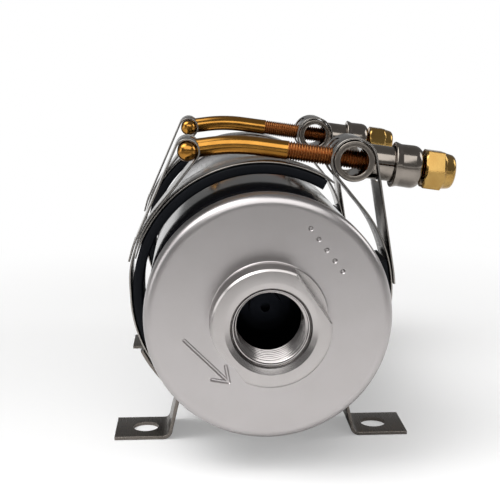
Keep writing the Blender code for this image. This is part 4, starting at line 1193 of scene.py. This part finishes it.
    def build_nut(self) -> None:
        """All-metal lock nut: the lesser of a turned outline and a hexagon, with a domed collar."""
        start, end = self.nut_start, self.nut_start + self.nut_length
        neck = end - self.collar_length
        corner, face = self.nut_flats / math.sqrt(3), self.nut_flats / 2 * self.nut_face
        bore = self.bolt - self.thread_depth
        low, high = self.nut_chamfers
        soft, round_corner = self.nut_rounds
        draw, dome = self.collar_dome
        outline = [(bore, start, 0.0), (face, start, soft), (corner, start + low, round_corner),
                   (corner, neck - high, round_corner), (self.collar, neck, self.lip_round),
                   (self.collar - draw, end, dome), (bore, end, self.lip_round)]
        limit = hexagon(full_turn(self.nut_steps), self.nut_flats, corner)
        dress(turned(f"{self.name}_lock_nut_crimped", self.bolt_place, outline, self.nut_steps, limit),
              f"{self.name}_lock_nut", PALE_ZINC)

    def foot_path(self) -> Array:
        """Left foot from its saddle under the strap, down its upright and out along the floor.

        Returns:
            Points across and up from the pump axis.
        """
        radius = self.strap_ring + self.strap / 2 + self.gap + self.foot / 2
        lap = arc(radius, *self.saddle, self.ring_step, self.centre)
        heading = unit(lap[-1] - lap[-2])
        level = self.foot / 2 - AXIS_Z
        corner = lap[-1] + heading * self.foot_bend
        bends = fillet_path([(*lap[-1], 0.0), (*corner, self.foot_bend),
                             (-self.foot_bend_span / 2, level, self.foot_bend),
                             (-self.foot_span / 2, level, 0.0)], points=13)
        flat = np.linspace(bends[-2], bends[-1], 12)
        return np.concatenate([lap[:-1], bends[:-2], flat])

    def build_welds(self, name: str, node: str, radius: float, angle: float, finish: Finish) -> None:
        """Two spot welds side by side on a strip's outer face: a dished middle in a low ring.

        Args:
            name: Start of the pieces' names.
            node: CAD node that the welds sit on.
            radius: Radius of the strip's outer face from the ring's centre.
            angle: Place round the ring in degrees.
            finish: Surface of the strip.
        """
        out = polar(1.0, angle)
        outward = np.array([out[0], 0.0, out[1]])
        spot = self.at(polar(radius, angle, self.centre))
        w, sunk = self.weld, self.weld_sunk
        middle, dish, ring = self.weld_heights
        corners = [(0.0, -sunk, 0.0), (0.0, middle, 0.0), (0.6 * w, dish, 0.5 * w),
                   (0.85 * w, ring, 0.1 * w), (w, -sunk, 0.0)]
        for number, shift in enumerate((-self.width / 4, self.width / 4)):
            place = Place(spot + Y * shift, Y, np.cross(outward, Y), outward)
            dress(turned(f"{name}_weld_{number}", place, corners, 40), node, finish, stands_for=False)

    def build_foot(self, side: Side) -> None:
        """Bent strip foot with a round screw hole; the right one mirrors the left.

        Args:
            side: Side of the clamp that the foot stands on.
        """
        mirror = np.array([side.value, 1.0])
        name = f"{self.name}_{side.name.lower()}_foot"
        foot = self.strip(f"{name}_bent", self.foot_path() * mirror, self.foot, self.foot_edge)
        hole = np.array([-self.foot_hole_spacing / 2, -AXIS_Z]) * mirror
        place = Place(self.at(hole), X, Y, Z)
        cut(foot, round_bar("foot_drill", place, self.foot_hole, 2 * self.foot_bend, 64))
        round_edges(foot, self.foot_bevel)
        dress(foot, name, FOOT_STEEL)
        angle = sum(self.saddle) / 2
        radius = self.strap_ring + self.strap / 2 + self.gap + self.foot
        self.build_welds(name, name, radius, angle if side is Side.LEFT else 180.0 - angle, FOOT_STEEL)


# The studio


@dataclass(frozen=True)
class Lamp:
    """Square soft lamp that looks at a point."""

    name: str
    place: Corner
    aim: Corner
    size: float                 # length of its side
    power: float                # watts
    spread: float = 180.0  # degrees that its light fans out

    def add(self) -> None:
        """Put the lamp into the scene."""
        lamp = bpy.data.lights.new(self.name, "AREA")
        lamp.size = self.size
        lamp.energy = self.power
        lamp.spread = math.radians(self.spread)
        holder = bpy.data.objects.new(self.name, lamp)
        holder.location = self.place
        toward = Vector(self.aim) - Vector(self.place)
        holder.rotation_euler = toward.to_track_quat("-Z", "Y").to_euler()
        bpy.context.scene.collection.objects.link(holder)


PUMP_MIDDLE = (AXIS_X, 0.0, AXIS_Z)
# The grid on the key lamp keeps its light off the paper far in front
LAMPS = (
    Lamp("key_softbox", (-0.4, -0.05, 0.75), PUMP_MIDDLE, 0.9, 1.7, 60.0),
    Lamp("side_softbox", (0.8, 0.1, 0.5), PUMP_MIDDLE, 0.4, 1.5),
    Lamp("left_softbox", (-0.8, -0.25, 0.3), PUMP_MIDDLE, 0.4, 0.9),
    Lamp("paper_softbox", (0.0, -0.24, 0.22), (0.0, -0.22, 0.0), 0.25, 0.42),
)


@dataclass
class Studio:
    """White sweep, soft lamps and the camera at the photograph's angle."""

    lens: float = 72.0
    sensor: float = 36.0
    camera_offset: Corner = (-22.07 * MM, -281.15 * MM, 78.68 * MM)  # from the inlet's face
    yaw: float = 3.202  # degrees to the right of the pump axis
    pitch: float = 11.034  # degrees down
    floor_size: float = 6.0
    dim: float = 0.22           # strength of the ceiling and of the even light
    wall_top: Pair = (0.0, 0.05)  # rise of the view where the walls end
    seen_paper: Corner = (0.0, 0.08, 0.32)       # Y of its middle, and where it turns to plain white
    mirrored_paper: Corner = (-1.1, 1.07, 1.35)  # the same, as metal shows it
    floor_glow: Pair = (0.3, 0.0)  # plain white in the lit paper, seen and mirrored

    def build(self) -> None:
        """Make the floor, the lamps, the world and the camera."""
        scene = bpy.context.scene
        scene.view_settings.view_transform = "Standard"
        self.build_floor()
        self.build_world(scene)
        for lamp in LAMPS:
            lamp.add()
        camera = bpy.data.cameras.new("photo_camera")
        camera.lens = self.lens
        camera.sensor_width = self.sensor
        camera.clip_start = 0.01
        holder = bpy.data.objects.new("photo_camera", camera)
        holder.location = INLET.origin + np.array(self.camera_offset)
        holder.rotation_euler = (math.radians(90.0 - self.pitch), 0.0, math.radians(-self.yaw))
        scene.collection.objects.link(holder)
        scene.camera = holder

    def build_floor(self) -> None:
        """Flat pale floor that keeps the object's shadow and runs out to the white behind it."""
        side = np.linspace(-self.floor_size / 2, self.floor_size / 2, 2)
        across, along = np.meshgrid(side, side)
        points = np.stack([across, along, np.zeros_like(across)], axis=-1).reshape(-1, 3)
        mesh = bpy.data.meshes.new("studio_floor")
        mesh.from_pydata(points, [], [(0, 1, 3, 2)])
        made = bpy.data.materials.new("white_paper")
        made.use_nodes = True
        tree = made.node_tree
        paper = tree.nodes["Principled BSDF"]
        paper.inputs["Base Color"].default_value = linear("#FAFAFA")
        paper.inputs["Roughness"].default_value = 0.9
        paper.inputs["Specular IOR Level"].default_value = 0.1
        white = add_node(tree, "ShaderNodeEmission", {"Color": linear("#FFFFFF"), "Strength": 1.0})
        where = add_node(tree, "ShaderNodeTexCoord").outputs["Object"]
        shares = []
        papers = (self.seen_paper, self.mirrored_paper)
        for rays, (centre, start, end), glow in zip(self.white_rays(tree), papers, self.floor_glow):
            reach = add_node(tree, "ShaderNodeVectorMath", {0: where, 1: (0.0, centre, 0.0)},
                             operation="DISTANCE")
            away = add_node(tree, "ShaderNodeMapRange",
                            {"Value": reach.outputs["Value"], "From Min": start, "From Max": end,
                             "To Min": glow, "To Max": 1.0}, interpolation_type="SMOOTHSTEP")
            shares.append(add_node(tree, "ShaderNodeMath", {0: away.outputs[0], 1: rays},
                                   operation="MULTIPLY").outputs[0])
        share = add_node(tree, "ShaderNodeMath", {0: shares[0], 1: shares[1]}, operation="MAXIMUM")
        mix = add_node(tree, "ShaderNodeMixShader",
                       {0: share.outputs[0], 1: paper.outputs[0], 2: white.outputs[0]})
        tree.links.new(mix.outputs[0], tree.nodes["Material Output"].inputs["Surface"])
        mesh.materials.append(made)
        floor = bpy.data.objects.new("studio_floor", mesh)
        bpy.context.scene.collection.objects.link(floor)

    def white_rays(self, tree: bpy.types.NodeTree) -> tuple[bpy.types.NodeSocket, bpy.types.NodeSocket]:
        """Which rays see the plain white: the camera's, and those that metal and glass send.

        Args:
            tree: Node tree of the floor or the world.

        Returns:
            Two sockets, each 1 for its rays: the camera's, and the glossy and transmission ones.
        """
        path = add_node(tree, "ShaderNodeLightPath").outputs
        mirrored = add_node(tree, "ShaderNodeMath",
                            {0: path["Is Glossy Ray"], 1: path["Is Transmission Ray"]},
                            operation="MAXIMUM")
        return path["Is Camera Ray"], mirrored.outputs[0]

    def build_world(self, scene: bpy.types.Scene) -> None:
        """White behind the object, white walls under a dim ceiling in metal, and a dim, even light.

        Args:
            scene: The scene that takes the world.
        """
        world = bpy.data.worlds.new("studio")
        world.use_nodes = True
        scene.world = world
        tree = world.node_tree
        tree.nodes.clear()
        where = add_node(tree, "ShaderNodeTexCoord").outputs["Generated"]
        rise = add_node(tree, "ShaderNodeSeparateXYZ", {0: where}).outputs["Z"]
        wall = add_node(tree, "ShaderNodeMapRange",
                        {"Value": rise, "From Min": self.wall_top[0], "From Max": self.wall_top[1],
                         "To Min": 1.0, "To Max": self.dim}, interpolation_type="SMOOTHSTEP")
        seen, mirrored = self.white_rays(tree)
        level = add_node(tree, "ShaderNodeMath", {0: seen, 1: wall.outputs[0]}, operation="MAXIMUM")
        shown = add_node(tree, "ShaderNodeMath", {0: seen, 1: mirrored}, operation="MAXIMUM")
        white = add_node(tree, "ShaderNodeBackground",
                         {"Color": linear("#FFFFFF"), "Strength": level.outputs[0]})
        soft = add_node(tree, "ShaderNodeBackground", {"Color": linear("#F4F2F0"), "Strength": self.dim})
        mix = add_node(tree, "ShaderNodeMixShader",
                       {0: shown.outputs[0], 1: soft.outputs[0], 2: white.outputs[0]})
        add_node(tree, "ShaderNodeOutputWorld", {"Surface": mix.outputs[0]})


def dress_cad_nodes() -> None:
    """Give every CAD node that still shows the material of its slot."""
    for name, node in frame["nodes"].items():
        if not node.hide_render:
            for slot in node.material_slots:
                slot.material = NODE_FINISH.get(name, SLOT_FINISH[NODE_SLOT[name]]).make()
            LOG.info("%s: CAD shape, %s", name, node.material_slots[0].material.name)


def main() -> None:
    """Build the studio, the pump and its clamps in order."""
    logging.basicConfig(level=logging.INFO, format="%(message)s")
    Studio().build()
    EndCap(End.INLET, INLET).build()
    EndCap(End.OUTLET, OUTLET).build()
    BodyTube().build()
    for name in ("positive", "negative"):
        Terminal(name).build()
    CoilSpring("valve_spring", "check_valve_lift").build()
    for side in Side:
        name = side.name.lower()
        CoilSpring(f"{name}_brush_spring", f"{name}_brush_slide").build()
    for name in ("front", "rear"):
        Clamp(name).build()
    dress_cad_nodes()


if __name__ == "__main__":
    main()
